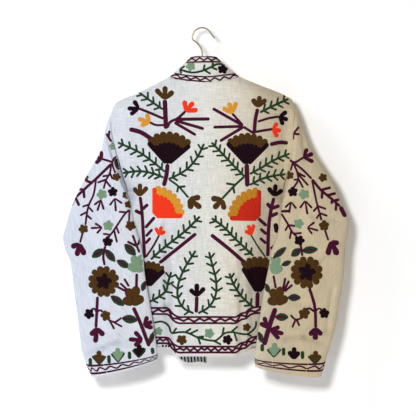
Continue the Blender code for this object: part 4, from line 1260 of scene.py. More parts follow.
RIGHT_SLEEVE_DESIGN = (
    ("stroke", "plum", 2.4, (293, 134), (298.7, 127)),
    ("stroke", "plum", 2.4, (293, 134), (299.2, 134.7)),
    ("stroke", "plum", 2.4, (293, 134), (292.8, 139.9)),
    ("blossom", "plum", 3.8, (303.3, 157.7), (306.8, 148.5), (312.8, 153.6), (313.1, 162.3)),
    ("stroke", "plum", 2.4, (303.3, 157.7), (292.4, 162.3), (289, 160)),
    ("stroke", "plum", 2.1, (292.4, 162.3), (290.1, 171)),
    ("flower", "brown", (289, 175.4), 4.2),
    ("branch", "plum", 2.1, ((292.4, 162.3), (297, 174.3), (297.6, 179), (293, 188)),
     ((305, 177.2), (292.8, 180.1), (307.7, 185.8), (302.5, 188.1))),
    ("flower", "dark", (292.2, 192), 4.8),
    ("flower", "sage", (303.3, 194.4), 5.0),
    ("blossom", "plum", 2.0, (290.4, 202), (284.4, 207.6), (288.4, 213), (295.9, 208.8)),
    ("blossom", "plum", 2.0, (304.5, 200.7), (299.2, 208.2), (306.8, 214.5), (311.4, 208.2)),
    ("stroke", "plum", 2.4, (292.4, 162.3), (302, 170), (311, 179)),
    ("flower", "brown", (322.3, 177.8), 4.2),
    ("branch", "plum", 2.1, ((311.4, 180.1), (315.9, 202), (320.8, 220.5)),
     ((325.4, 209.1), (312.4, 211.8), (326.9, 216), (315.4, 218.6))),
    ("flower", "brown", (323.3, 225.4), 5.0),
    ("stroke", "plum", 2.1, (324, 229), (327.7, 240.4)),
    ("blossom", "plum", 5.0, (330.4, 241.2), (338.4, 243.5), (326.8, 255), (337, 255)),
    ("branch", "plum", 2.8, ((311.4, 179.5), (320.5, 190.4), (329.7, 197.9), (339.5, 206.5)),
     ((330.3, 187.5), (321.1, 199), (335.5, 193.3), (330.9, 204.2), (338.9, 199.6), (335, 211))),
    ("stroke", "plum", 4.6, (339.5, 206.4), (345, 217)),
    ("stroke", "plum", 3.0, (280.2, 211.4), (288.7, 211)),
    ("branch", "plum", 2.1, ((281, 213.7), (287.5, 224.4), (291.7, 232), (296.3, 236.6)),
     ((284.5, 230.9), (289, 238.9), (301.3, 232.8), (295, 226))),
    ("flower", "sage", (298, 223.6), 4.8),
    ("blossom", "plum", 2.0, (306.6, 227.4), (313.9, 222), (317.7, 230.5), (311.6, 234)),
    ("flower", "dark", (298.8, 240.4), 5.0),
    ("stroke", "plum", 2.4, (300.1, 245), (301.7, 255.7)),
    ("leaf", "green", 7.7, (300, 248.5), (290.8, 255.8)),
    ("leaf", "green", 7.7, (301, 250.5), (317, 249)),
    ("rosette", "brown", (306, 272), 16.4, 8.5),
    ("stroke", "plum", 3.1, (308.7, 287.5), (313.9, 305.4), (315.1, 327.2)),
    ("flower", "brown", (303.6, 312.7), 5.4),
    ("flower", "dark", (323.6, 312.7), 5.0),
    ("stroke", "plum", 2.1, (302.5, 316.5), (295, 318.7), (289.8, 314)),
    ("stroke", "plum", 2.1, (295, 318.7), (291.5, 326.8)),
    ("stroke", "plum", 2.1, (296, 319), (298.8, 325.2)),
    ("stroke", "plum", 2.1, (313.2, 311), (309.5, 308), (305, 308.5)),
    ("stroke", "plum", 2.1, (314.3, 311), (318.3, 308), (321.5, 309.5)),
    ("blossom", "plum", 4.6, (315.1, 327.2), (308.6, 334.5), (314.5, 339.6), (321.2, 334.5)),
    ("leaf", "green", 6.4, (272.6, 258), (285.6, 247)),
    ("leaf", "green", 5.2, (281, 264.9), (290.6, 261.1)),
    ("blossom", "sage", 6.2, (273.2, 273.5), (265.6, 266), (270, 256.5), (277.5, 256.5), (281.5, 266)),
    ("stroke", "plum", 2.4, (273, 274.9), (275.3, 287.9)),
    ("stroke", "plum", 2.4, (282.2, 290.2), (284.8, 277.2)),
    ("stroke", "plum", 2.4, (283.2, 290.4), (288.6, 280)),
    ("stroke", "plum", 2.4, (284, 291), (292, 284)),
    ("blossom", "brown", 7.4, (276.5, 304), (267.5, 298), (271.5, 288), (280.5, 286), (286.8, 296)),
    ("stroke", "plum", 3.0, (277, 302), (277.6, 294.5)),
    ("leaf", "green", 5.8, (265, 283), (268.5, 292)),
    ("leaf", "green", 7.7, (287.1, 297), (299.9, 297)),
    ("stroke", "plum", 4.8, (275.1, 307.2), (270, 322), (263.6, 344.2)),
    ("leaf", "green", 8.4, (274.5, 316.2), (287.8, 316.3)),
    ("blossom", "plum", 4.0, (267.3, 327.2), (263.6, 316), (259.5, 322)),
    ("blossom", "plum", 4.0, (269.7, 329), (279.2, 326), (283, 333), (278.8, 338)),
    ("leaf", "green", 5.6, (258.4, 331), (261.8, 341.8)),
    ("stroke", "green", 3.7, (261.8, 343), (261.8, 350.5)),
    ("stroke", "green", 3.7, (283, 346.5), (283, 354.5)),
    ("stroke", "green", 3.7, (301.8, 350), (301.8, 358)),
    ("blossom", "green", 2.0, (273.3, 356.2), (266.8, 348), (280.4, 348)),
    ("blossom", "sage", 4.6, (273.3, 355.4), (269, 346.6), (274.2, 341.8), (278.8, 346.6)),
    ("blossom", "dark", 4.4, (293.3, 358), (288, 350), (293.5, 346), (298.5, 350.5)),
    ("blossom", "green", 2.0, (314.3, 363), (307.5, 355), (320.5, 355.5)),
    ("blossom", "brown", 4.4, (314.5, 362), (310, 353.5), (315, 349.8), (319.6, 354)),
)

LEFT_SLEEVE_DESIGN = (
    ("stroke", "plum", 2.1, (97.3, 311.5), (94.3, 308), (91.5, 310)),
    ("stroke", "plum", 2.1, (97.3, 311.5), (101.2, 309.6), (104, 312)),
    ("stroke", "plum", 2.4, (109.9, 130.7), (109.4, 138.2), (112.2, 142.2)),
    ("stroke", "plum", 2.4, (106.5, 133.6), (109.4, 138.2)),
    ("flower", "sage", (113.4, 146.6), 3.7),
    ("leaf", "green", 6.4, (116.2, 158.6), (119.1, 170)),
    ("stroke", "plum", 2.1, (116.8, 156.5), (113.4, 160.5), (114.5, 169.7), (116.2, 173.7)),
    ("stroke", "plum", 2.4, (112.8, 162.3), (101.3, 158.8)),
    ("blossom", "plum", 3.8, (102.3, 159), (101.2, 151), (96, 157), (95.6, 163.4)),
    ("branch", "plum", 2.8, ((112.2, 164), (96.7, 178.9), (85.2, 189.2), (74.5, 199.9), (71.5, 206)),
     ((86.4, 181), (79.1, 189), (84.9, 198.4), (74.9, 195.5), (80, 206))),
    ("flower", "brown", (85.2, 178.5), 4.0),
    ("stroke", "plum", 4.6, (71.7, 208), (68.8, 219)),
    ("branch", "plum", 2.1, ((96.7, 179.5), (94, 195.3), (89.8, 204.5), (86, 225.1)),
     ((83, 206.8), (94, 212.1), (80.7, 215.6), (92.5, 219.4))),
    ("flower", "brown", (84.1, 229), 4.7),
    ("stroke", "plum", 2.1, (83.3, 233), (80.7, 242.7)),
    ("blossom", "plum", 5.0, (80.3, 243.5), (71.8, 247), (77.4, 256), (85.5, 255)),
    ("branch", "plum", 2.1, ((111.7, 163.4), (110.5, 173.2), (107.1, 179.5), (104.2, 189.2)),
     ((103, 176.6), (113.4, 179.5), (97.9, 182.9), (111.7, 187.5))),
    ("flower", "sage", (102.5, 194.5), 5.0),
    ("flower", "dark", (113.4, 192), 4.7),
    ("flower", "brown", (117, 177.2), 4.0),
    ("blossom", "plum", 2.0, (101.7, 199.9), (94.8, 205), (98, 211), (104.5, 209.8)),
    ("blossom", "plum", 2.0, (115.5, 198.4), (110.3, 205.6), (116.5, 211.5), (122.8, 203.5)),
    ("flower", "brown", (126.6, 195.2), 3.7),
    ("flower", "brown", (128.9, 204.3), 3.7),
    ("branch", "plum", 2.1, ((130, 209.8), (127.3, 212.1), (118.9, 223.6), (112, 233.6), (107.4, 238.9)),
     ((119.3, 211.8), (119.7, 233.6), (103.6, 233.6), (117.8, 242.4))),
    ("stroke", "plum", 2.1, (130, 210), (129.6, 221.3)),
    ("flower", "brown", (131.2, 225.4), 5.0),
    ("flower", "sage", (109, 225.5), 5.0),
    ("blossom", "plum", 2.0, (102.8, 227.4), (95.6, 223.2), (91.4, 228), (97.5, 233.4)),
    ("flower", "dark", (108.4, 241.2), 5.0),
    ("stroke", "plum", 2.6, (105.9, 245.8), (104, 256.5), (105.4, 265)),
    ("leaf", "green", 7.7, (104.4, 248.9), (92.7, 257)),
    ("leaf", "green", 7.7, (105.9, 249.2), (115.6, 261.3)),
    ("rosette", "brown", (104.4, 281), 15.8, 7.8),
    ("stroke", "plum", 2.4, (133.1, 234.7), (137.3, 245.8), (140, 252.3)),
    ("stroke", "plum", 2.4, (127.7, 241.2), (137.7, 246.2)),
    ("stroke", "plum", 2.4, (140.2, 238.9), (138.5, 245)),
    ("leaf", "green", 8.4, (125.4, 243.8), (136, 255)),
    ("leaf", "green", 7.7, (117.5, 260), (130, 267)),
    ("blossom", "sage", 6.6, (137.3, 271.5), (128.2, 264), (134, 255), (142.5, 254.5), (146.5, 265)),
    ("stroke", "plum", 3.0, (137.3, 273), (136.9, 287.9)),
    ("stroke", "plum", 2.4, (129.6, 286), (124.7, 278)),
    ("stroke", "plum", 2.4, (128.1, 289.4), (120.8, 282.6)),
    ("stroke", "plum", 2.4, (127.3, 291), (118, 286.2)),
    ("blossom", "brown", 7.6, (132.9, 304.5), (123.8, 297.5), (128.5, 287.5), (137.5, 285.5), (143.8, 296)),
    ("stroke", "plum", 3.0, (132.8, 303), (133.2, 295)),
    ("leaf", "green", 5.8, (146, 280.5), (142.6, 290.5)),
    ("leaf", "green", 7.7, (111.6, 295.2), (124.6, 304.8)),
    ("stroke", "plum", 3.6, (133.8, 306.6), (139.5, 319), (149.7, 345.4)),
    ("leaf", "green", 9.0, (122.6, 317.3), (138, 319.4)),
    ("blossom", "plum", 4.0, (144.4, 325), (147.9, 315.4), (152.6, 320.6), (153.3, 327)),
    ("blossom", "plum", 4.0, (142.9, 339), (135.1, 330.5), (129.2, 338.4), (134.8, 345)),
    ("leaf", "green", 5.6, (149.5, 343.6), (154.6, 330.4)),
    ("stroke", "plum", 3.0, (98.2, 296), (97.6, 309), (96.6, 327.2)),
    ("flower", "dark", (89.9, 313.3), 5.0),
    ("flower", "brown", (106.3, 315.1), 5.0),
    ("branch", "plum", 2.1, ((108.5, 318.7), (115.1, 321.2), (122.4, 316.9)), ((115.1, 328.4), (123, 326))),
    ("blossom", "plum", 4.6, (97.6, 327.2), (91, 334.8), (96.1, 342), (104.7, 334.8)),
    ("stroke", "green", 3.7, (90.9, 357), (91.2, 365.4)),
    ("stroke", "green", 3.7, (109.5, 354), (109.9, 362.4)),
    ("stroke", "green", 3.7, (130, 350.3), (130.3, 358)),
    ("stroke", "green", 3.7, (152.6, 346.5), (153.4, 353)),
    ("blossom", "green", 2.0, (100, 363.6), (92.9, 355), (106.6, 355)),
    ("blossom", "brown", 4.6, (100, 362.4), (95.2, 354), (99.6, 349.8), (104.8, 354.5)),
    ("blossom", "green", 2.0, (118.8, 361), (112, 352.5), (125.2, 351.5)),
    ("blossom", "sage", 4.6, (118.8, 360), (113.8, 350.6), (118.2, 346.8), (123.8, 350.4)),
    ("blossom", "green", 2.0, (139.4, 356.6), (133, 348.8), (146, 347.4)),
    ("blossom", "dark", 4.6, (139.4, 355.7), (134.9, 347.2), (139.8, 343.2), (144.8, 346.8)),
)

# Borders that run round the whole hem: height of the upper and lower line above the edge and the length
# of a wave, then the width of their lines and waves, in mm
HEM_BORDERS = (
    (90.0, 76.0, 21.5),
    (22.5, 9.2, 18.0),
)
HEM_LINE = 4.7
HEM_WAVE = 4.9
HEM_END_GAP = 3

# Cuff borders: height of the two lines above the cuff's edge and the length of a wave, then the width of
# the lines and the wave, in mm
CUFF_BORDER_LEFT = (20.0, 6.0, 22.3)
CUFF_BORDER_RIGHT = (25.0, 12.0, 25.3)
CUFF_LINE = 3.8
CUFF_WAVE = 3.3

# The front bands: their size, the borders' lines measured from the seam and the length of half a wave,
# then the vine's swing and wave, its flowers, and each twig's foot, side and tip along the vine, in mm
BAND_WIDTH = 60.0
BAND_LENGTH = 690.0
BAND_BORDERS = ((4.0, 13.0), (47.0, 56.0))
BAND_WAVE = 19.0
BAND_LINE = 2.8
BAND_WAVE_WIDTH = 3.0
BAND_BORDER_START = 6.0
BAND_VINE_START = 10.0
BAND_VINE_SWING = 6.0
BAND_VINE_WAVE = 84.0
BAND_VINE_WIDTH = 4.4
BAND_FLOWERS = ("brown", "sage", "dark")
BAND_FLOWER_RADIUS = 9.5
BAND_FLOWER_SIDE = 6.5
BAND_TWIG_SIDE = 4
BAND_TWIGS = ((8, 12, -4), (-8, 13, -17))

# How far the back's trees are moved to lie on the fronts, in squares
LEFT_FRONT_SHIFT = -15.0
RIGHT_FRONT_SHIFT = 15.0

# A long border is worked in pieces of about this length, which lap a little where they meet, in mm
BORDER_PIECE = 50.0
BORDER_LAP = 1.5


def chart_in_mm(seed=5):
    return Chart(MM, (0.0, 0.0), seed)


def hem_borders(chart, hem, start, end):
    """Works the borders that follow the hem, in short lengths that lap a little."""
    pieces = max(int(abs(end - start) / BORDER_PIECE + 0.5), 1)
    ends = np.linspace(start, end, pieces + 1)
    lap = np.sign(end - start) * BORDER_LAP
    for upper, lower, wave in HEM_BORDERS:
        for first, last in zip(ends[:-1], ends[1:]):
            from_x = first if first == ends[0] else first - lap
            to_x = last if last == ends[-1] else last + lap
            x = np.linspace(from_x, to_x, 5)
            z = hem(x * MM) / MM
            periods = max(int(round(abs(last - first) / wave)), 1)
            lines = (tuple(zip(x, -(z + height))) for height in (upper, lower))
            chart.border(*lines, periods, line=HEM_LINE, wave=HEM_WAVE)


def cuff_border(piece, left):
    """Two lines and a wave round the cuff."""
    girth = lengths_from_start(piece.points, 0)[-1, -1] / MM
    upper, lower, wave = CUFF_BORDER_LEFT if left else CUFF_BORDER_RIGHT
    ground = SurfaceGround(piece, girth * MM)
    foot = ground.length / MM
    chart = chart_in_mm()
    pieces = int(girth / BORDER_PIECE)
    ends = np.linspace(0.0, girth, pieces + 1)
    for first, last in zip(ends[:-1], ends[1:]):
        x = np.linspace(first, last, 3)
        lines = (tuple((a, foot - height) for a in x) for height in (upper, lower))
        periods = max(int(round((last - first) / wave)), 1)
        chart.border(*lines, periods, line=CUFF_LINE, wave=CUFF_WAVE)
    return chart, ground


def band_design():
    """A vine with flowers between two borders, all the way down a front edge."""
    chart = chart_in_mm(seed=9)
    ends = np.arange(BAND_BORDER_START, BAND_LENGTH, 2 * BAND_WAVE)
    for border in BAND_BORDERS:
        for start, end in zip(ends[:-1], ends[1:]):
            rows = np.linspace(start, end, 3)
            lines = (tuple((across, y) for y in rows) for across in border)
            chart.border(*lines, 2, line=BAND_LINE, wave=BAND_WAVE_WIDTH)
    middle = (BAND_BORDERS[0][1] + BAND_BORDERS[1][0]) / 2
    rows = np.arange(BAND_VINE_START, BAND_LENGTH - BAND_VINE_START, BAND_VINE_WAVE / 8)
    swing = BAND_VINE_SWING * np.sin(rows / BAND_VINE_WAVE * 2 * np.pi)
    for k in range(0, len(rows) - 4, 4):
        chart.stroke("green", BAND_VINE_WIDTH, *zip(middle + swing[k : k + 5], rows[k : k + 5]))
        bend = k // 4
        way = -1 if bend % 2 else 1
        at = rows[k + 2]
        centre = (middle - way * BAND_FLOWER_SIDE, at)
        chart.flower(BAND_FLOWERS[bend % len(BAND_FLOWERS)], centre, BAND_FLOWER_RADIUS)
        for foot, side, tip in BAND_TWIGS:
            start = (middle + way * BAND_TWIG_SIDE, at + foot)
            chart.stroke("green", BAND_VINE_WIDTH, start, (middle + way * side, at + tip))
    return chart


# The cloth pieces, in the groups that are made together
PANELS = ("back_cloth", "front_left_cloth", "front_right_cloth")
SLEEVES = ("sleeve_left_cloth", "sleeve_right_cloth")
BANDS = ("collar_cloth", "band_left_cloth", "band_right_cloth")

# Weave, stitching and stripes: the sizes of what repeats
SLUB_WIDTH = 2.6 * MM
SLUB_LENGTH = 30 * MM
SLUB_PATCH = 34 * MM
YARN = 1.1 * MM
LINK = 2.8 * MM
STITCH_ROW = 2.2 * MM
STRIPE = 7.6 * MM
STRIPE_SLANT = 0.12
STRIPE_EDGE = 6.0
PUCKER_SPREAD = 12 * MM

# Finishes: roughness, how far the weave varies the colour or the stitching paints shade into its grooves,
# then the bump's strength and depth. The cloth's bump also has soft unevenness, and the stitching's painted
# shade has a middle
COTTON_ROUGHNESS = 0.93
COTTON_SPECULAR = 0.2
WEAVE_CONTRAST = 0.27
WEAVE_BUMP = (0.5, 0.7 * MM)
UNEVENNESS = 2.0
SLUB_GAIN = 2.6
YARN_HEIGHT = 0.12
THREAD_ROUGHNESS = 0.85
THREAD_SPECULAR = 0.07
STITCH_PAINTED_SHADE = 0.45
STITCH_BUMP = (0.6, 0.5 * MM)
STITCH_LEAN = 0.45
STITCH_MIDDLE = 0.6

# The cloth's cream colour with painted light across it: cool light painted on its left, warm light and
# painted shade on its right, darkest where shade falls beside the right sleeve. Place across the jacket,
# then colour
CLOTH_COLOUR_AND_PAINTED_LIGHT = (
    (0.0, (194, 201, 214)),
    (0.13, (198, 203, 215)),
    (0.38, (202, 204, 206)),
    (0.50, (209, 209, 203)),
    (0.61, (204, 197, 182)),
    (0.72, (182, 170, 146)),
    (0.84, (194, 178, 147)),
    (1.0, (188, 174, 147)),
)
PAINTED_LIGHT_REACH = (-0.32, 0.34)

# Camera and stage
CAMERA_PLACE = (0.0138, -6.0, -0.4129)
LENS = 225.8
FILM = 36.0
WALL_Y = 0.045
FLOOR_Z = -1.6
STAGE_SPREAD = 8.0
STAGE_ROUGHNESS = 0.95

# Lights: turn and lift in degrees and size in metres, all at one distance from the jacket's middle
KEY_LIGHT = (14.0, 14.5, 0.6)
SIDE_LIGHT = (62.0, 32.0, 1.0)
FRONT_LIGHT_LEFT = (150.0, 20.0, 1.6)
FRONT_LIGHT_RIGHT = (-150.0, 20.0, 1.6)
FRONT_RIGHT_SHARE = 0.6
LIGHT_AIM = (0.0, 0.0, -0.4)
LIGHT_DISTANCE = 3.2


def tone(red, green, blue):
    """A colour as it looks, from 0 to 255, as the renderer counts it."""
    shades = [value / 255 for value in (red, green, blue)]
    return tuple(s / 12.92 if s <= 0.04045 else ((s + 0.055) / 1.055) ** 2.4 for s in shades)


def colour_setting(label, description, default):
    return bpy.props.FloatVectorProperty(
        name=label, description=description, subtype="COLOR", size=3, min=0.0, max=1.0, default=default
    )


def size_setting(label, description, default, least=0.0):
    return bpy.props.FloatProperty(
        name=label, description=description, default=default, min=least, unit="LENGTH"
    )


def power_setting(label, description, default):
    return bpy.props.FloatProperty(
        name=label, description=description, default=default, min=0.0, unit="POWER"
    )


class JacketThreads(bpy.types.PropertyGroup):
    """Colours of the embroidery threads."""

    plum: colour_setting("Plum", "Stems, borders and drooping flowers", tone(66, 14, 42))
    dark: colour_setting("Dark", "Bodies of the fans and dark flowers", tone(25, 7, 16))
    brown: colour_setting("Brown", "Crowns of the fans, tulips and large flowers", tone(70, 46, 18))
    green: colour_setting("Green", "Ferns, vines and leaves", tone(32, 58, 34))
    sage: colour_setting("Sage", "Pale green flowers", tone(112, 139, 112))
    red: colour_setting("Red", "Tulips and the left small fan", tone(226, 54, 26))
    # Red darkened with painted shade, for the fan on the back's right half, where shade falls
    red_deep: colour_setting("Red in shade", "The right small fan", tone(184, 38, 22))
    mustard: colour_setting("Mustard", "Tulips and the left small fan's crown", tone(202, 140, 44))
    # Mustard darkened with painted shade, for the same fan
    mustard_deep: colour_setting("Mustard in shade", "The right small fan's crown", tone(176, 118, 32))


class JacketSizes(bpy.types.PropertyGroup):
    """Sizes and other colours of the jacket, its hanger and its stage."""

    cloth_wall: size_setting("Cloth", "Thickness of the cloth shells", 1.3 * MM, 0.5 * MM)
    facing_wall: size_setting("Facing", "Thickness of the facing", 0.8 * MM, 0.3 * MM)
    stitch_height: size_setting("Stitching", "Height of the stitching above the cloth", 0.9 * MM)
    wire: colour_setting("Wire", "Colour of the hook", tone(142, 134, 106))
    wood: colour_setting("Bar", "Colour of the hanger's bar", tone(196, 178, 148))
    stripe_dark: colour_setting("Dark stripe", "Dark stripes of the facing", tone(26, 26, 30))
    stripe_pale: colour_setting("Pale stripe", "Pale stripes of the facing", tone(205, 206, 210))
    stage_white: colour_setting("Stage", "Colour of the floor and the wall", (0.98, 0.98, 0.98))
    key_power: power_setting("Key light", "Power of the main soft light", 71.0)
    fill_power: power_setting("Front lights", "Power of the soft lights before the open front", 60.0)
    side_power: power_setting("Side light", "Power of the soft light from the left", 19.0)
    sky: bpy.props.FloatProperty(
        name="Surround", description="Strength of the even light", default=0.17, min=0.0
    )


class Wiring:
    """Adds shader nodes to a tree and joins them up."""

    def __init__(self, tree):
        self.tree = tree

    def node(self, kind, inputs=None, **settings):
        made = self.tree.nodes.new(kind)
        for name, value in settings.items():
            setattr(made, name, value)
        for socket, value in (inputs or {}).items():
            if isinstance(value, bpy.types.NodeSocket):
                self.tree.links.new(value, made.inputs[socket])
            else:
                made.inputs[socket].default_value = value
        return made

    def math(self, operation, *values):
        return self.node("ShaderNodeMath", dict(enumerate(values)), operation=operation).outputs[0]

    def scaled(self, vector, *factors):
        inputs = {0: vector, 1: factors}
        return self.node("ShaderNodeVectorMath", inputs, operation="MULTIPLY").outputs[0]

    def noise(self, vector, detail=2.0):
        inputs = {"Vector": vector, "Scale": 1.0, "Detail": detail}
        return self.node("ShaderNodeTexNoise", inputs, noise_dimensions="2D").outputs["Fac"]

    def join(self, source, target):
        self.tree.links.new(source, target)


def effect(name, inputs, outputs):
    """A shader node group with named sockets, its wiring and its two end nodes."""
    tree = bpy.data.node_groups.new(name, "ShaderNodeTree")
    for socket, kind in inputs:
        tree.interface.new_socket(name=socket, in_out="INPUT", socket_type=kind)
    for socket, kind in outputs:
        tree.interface.new_socket(name=socket, in_out="OUTPUT", socket_type=kind)
    wiring = Wiring(tree)
    return wiring, wiring.node("NodeGroupInput").outputs, wiring.node("NodeGroupOutput").inputs


VALUE, VECTOR = "NodeSocketFloat", "NodeSocketVector"


@functools.lru_cache(maxsize=None)
def slub_weave():
    """Uneven thick threads that run both ways through a plain weave."""
    inputs = (("Place", VECTOR), ("Contrast", VALUE))
    w, given, made = effect("slub_weave", inputs, (("Shade", VALUE), ("Height", VALUE)))
    warp = w.noise(w.scaled(given["Place"], 1 / SLUB_WIDTH, 1 / SLUB_LENGTH, 0.0))
    weft = w.noise(w.scaled(given["Place"], 1 / SLUB_LENGTH, 1 / SLUB_WIDTH, 0.0))
    patch = w.noise(w.scaled(given["Place"], 1 / SLUB_PATCH, 1 / SLUB_PATCH, 0.0))
    warp = w.math("MULTIPLY", w.math("SUBTRACT", warp, 0.5), w.math("MULTIPLY", patch, SLUB_GAIN))
    rest = w.math("MULTIPLY_ADD", patch, -SLUB_GAIN, SLUB_GAIN)
    weft = w.math("MULTIPLY", w.math("SUBTRACT", weft, 0.5), rest)
    thick = w.math("ADD", warp, weft)
    w.join(w.math("MULTIPLY_ADD", thick, given["Contrast"], 1.0), made["Shade"])
    turns = math.tau / YARN
    yarn_place = w.node("ShaderNodeSeparateXYZ", {0: w.scaled(given["Place"], turns, turns, 0)})
    yarn = w.math("MULTIPLY", *(w.math("SINE", yarn_place.outputs[k]) for k in (0, 1)))
    w.join(w.math("MULTIPLY_ADD", yarn, YARN_HEIGHT, thick), made["Height"])
    return w.tree


@functools.lru_cache(maxsize=None)
def chain_stitch():
    """Links of chain stitch in rows along a stroke, with painted shade in the grooves between them."""
    inputs = (("Place", VECTOR), ("Contrast", VALUE))
    w, given, made = effect("chain_stitch", inputs, (("Shade", VALUE), ("Height", VALUE)))
    rows = w.scaled(given["Place"], 1 / LINK, 1 / STITCH_ROW, 0.0)
    place = w.node("ShaderNodeSeparateXYZ", {0: rows})
    row = w.math("ABSOLUTE", w.math("SINE", w.math("MULTIPLY", place.outputs[1], math.pi)))
    lean = w.math("MULTIPLY_ADD", row, STITCH_LEAN, place.outputs[0])
    link = w.math("ABSOLUTE", w.math("SINE", w.math("MULTIPLY", lean, math.pi)))
    height = w.math("MULTIPLY", w.math("POWER", link, 0.6), w.math("MULTIPLY_ADD", row, 0.4, 0.6))
    # The shade darkens the grooves between links and rows and lightens their crowns: painted shade and
    # painted highlight
    shade = w.math("SUBTRACT", height, STITCH_MIDDLE)
    w.join(w.math("MULTIPLY_ADD", shade, given["Contrast"], 1.0), made["Shade"])
    w.join(height, made["Height"])
    return w.tree


def new_finish(name, roughness, **constants):
    made = bpy.data.materials.new(name)
    made.use_nodes = True
    shader = made.node_tree.nodes["Principled BSDF"]
    shader.inputs["Roughness"].default_value = roughness
    for socket, value in constants.items():
        shader.inputs[socket.replace("_", " ")].default_value = value
    return made, Wiring(made.node_tree), shader


def shaded(w, colour, shade, shader):
    product = w.node("ShaderNodeVectorMath", {0: colour, "Scale": shade}, operation="SCALE")
    w.join(product.outputs[0], shader.inputs["Base Color"])


def bumped(w, height, bump, shader):
    strength, depth = bump
    bump = w.node("ShaderNodeBump", {"Height": height, "Strength": strength, "Distance": depth})
    w.join(bump.outputs[0], shader.inputs["Normal"])


@functools.lru_cache(maxsize=None)
def cotton():
    made, w, shader = new_finish(
        "slub_cotton_cloth", COTTON_ROUGHNESS, Specular_IOR_Level=COTTON_SPECULAR
    )
    place = w.node("ShaderNodeTexCoord")
    weave = w.node("ShaderNodeGroup", node_tree=slub_weave())
    w.join(place.outputs["UV"], weave.inputs["Place"])
    weave.inputs["Contrast"].default_value = WEAVE_CONTRAST
    # The ramp paints light over the cloth's cream colour: cool light on the left, warm light and shade on
    # the right
    across = w.node("ShaderNodeSeparateXYZ", {0: place.outputs["Object"]}).outputs[0]
    share = w.node(
        "ShaderNodeMapRange", {"Value": across, "From Min": PAINTED_LIGHT_REACH[0], "From Max": PAINTED_LIGHT_REACH[1]}
    ).outputs[0]
    ramp = w.node("ShaderNodeValToRGB", {0: share})
    stops = ramp.color_ramp.elements
    while len(stops) < len(CLOTH_COLOUR_AND_PAINTED_LIGHT):
        stops.new(0.5)
    # All places first, because the stops are put in order again when one moves
    for stop, (where, _) in zip(stops, CLOTH_COLOUR_AND_PAINTED_LIGHT):
        stop.position = where
    for stop, (_, colour) in zip(stops, CLOTH_COLOUR_AND_PAINTED_LIGHT):
        stop.color = (*tone(*colour), 1.0)
    shaded(w, ramp.outputs[0], weave.outputs["Shade"], shader)
    soft = w.noise(w.scaled(place.outputs["UV"], 1 / PUCKER_SPREAD, 1 / PUCKER_SPREAD, 0.0), 1.0)
    height = w.math("MULTIPLY_ADD", soft, UNEVENNESS, weave.outputs["Height"])
    bumped(w, height, WEAVE_BUMP, shader)
    return made


def thread_finish(name, colour):
    made, w, shader = new_finish(
        "thread_" + name, THREAD_ROUGHNESS, Specular_IOR_Level=THREAD_SPECULAR
    )
    place = w.node("ShaderNodeTexCoord")
    stitch = w.node("ShaderNodeGroup", node_tree=chain_stitch())
    w.join(place.outputs["UV"], stitch.inputs["Place"])
    # The stitching's painted shade darkens the grooves and lightens the crowns of the links in the thread's
    # colour
    stitch.inputs["Contrast"].default_value = STITCH_PAINTED_SHADE
    shaded(w, colour, stitch.outputs["Shade"], shader)
    bumped(w, stitch.outputs["Height"], STITCH_BUMP, shader)
    return made


def threads():
    colours = bpy.context.scene.jacket_threads
    names = JacketThreads.__annotations__
    return {name: thread_finish(name, tuple(getattr(colours, name))) for name in names}


def striped_cotton(dark, pale):
    made, w, shader = new_finish("striped_cotton_cloth", COTTON_ROUGHNESS)
    place = w.node("ShaderNodeSeparateXYZ", {0: w.node("ShaderNodeTexCoord").outputs["UV"]})
    slanted = w.math("MULTIPLY_ADD", place.outputs[1], STRIPE_SLANT, place.outputs[0])
    wave = w.math("SINE", w.math("MULTIPLY", slanted, math.tau / STRIPE))
    share = w.node("ShaderNodeClamp", {0: w.math("MULTIPLY_ADD", wave, STRIPE_EDGE, 0.5)}).outputs[0]
    mix = w.node("ShaderNodeMix", data_type="RGBA")
    w.join(share, mix.inputs["Factor"])
    mix.inputs[6].default_value = (*dark, 1.0)
    mix.inputs[7].default_value = (*pale, 1.0)
    w.join(mix.outputs[2], shader.inputs["Base Color"])
    return made


def brushed_wire(colour):
    made, w, shader = new_finish("champagne_wire_finish", 0.3, Metallic=0.85)
    place = w.scaled(w.node("ShaderNodeTexCoord").outputs["Object"], 900.0, 900.0, 90.0)
    wear = w.noise(place)
    shaded(w, colour, w.math("MULTIPLY_ADD", wear, 0.3, 0.85), shader)
    return made


def plain_wood(colour):
    made, w, shader = new_finish("plain_wood", 0.5)
    place = w.scaled(w.node("ShaderNodeTexCoord").outputs["Object"], 14.0, 0.0, 420.0)
    grain = w.noise(w.node("ShaderNodeVectorRotate", {"Vector": place, "Angle": math.pi / 2}).outputs[0])
    shaded(w, colour, w.math("MULTIPLY_ADD", grain, 0.4, 0.8), shader)
    return made


def placed(name, data):
    made = bpy.data.objects.new(name, data)
    bpy.context.scene.collection.objects.link(made)
    return made


def sizes():
    return bpy.context.scene.jacket_sizes


def dress(names, finish, wall):
    for name in names:
        cloth(name).build(finish, wall)
    return {"FINISHED"}


class JACKET_OT_panels(bpy.types.Operator):
    """Makes the back and the two fronts"""

    bl_idname = "jacket.panels"
    bl_label = "Back and fronts"

    def execute(self, context):
        return dress(PANELS, cotton(), sizes().cloth_wall)


class JACKET_OT_sleeves(bpy.types.Operator):
    """Makes the two sleeves"""

    bl_idname = "jacket.sleeves"
    bl_label = "Sleeves"

    def execute(self, context):
        return dress(SLEEVES, cotton(), sizes().cloth_wall)


class JACKET_OT_bands(bpy.types.Operator):
    """Makes the collar and the two front bands"""

    bl_idname = "jacket.bands"
    bl_label = "Collar and front bands"

    def execute(self, context):
        return dress(BANDS, cotton(), sizes().cloth_wall)


class JACKET_OT_facing(bpy.types.Operator):
    """Makes the striped facing inside the left front's hem"""

    bl_idname = "jacket.facing"
    bl_label = "Striped facing"

    def execute(self, context):
        finish = striped_cotton(sizes().stripe_dark, sizes().stripe_pale)
        return dress(("facing_cloth",), finish, sizes().facing_wall)


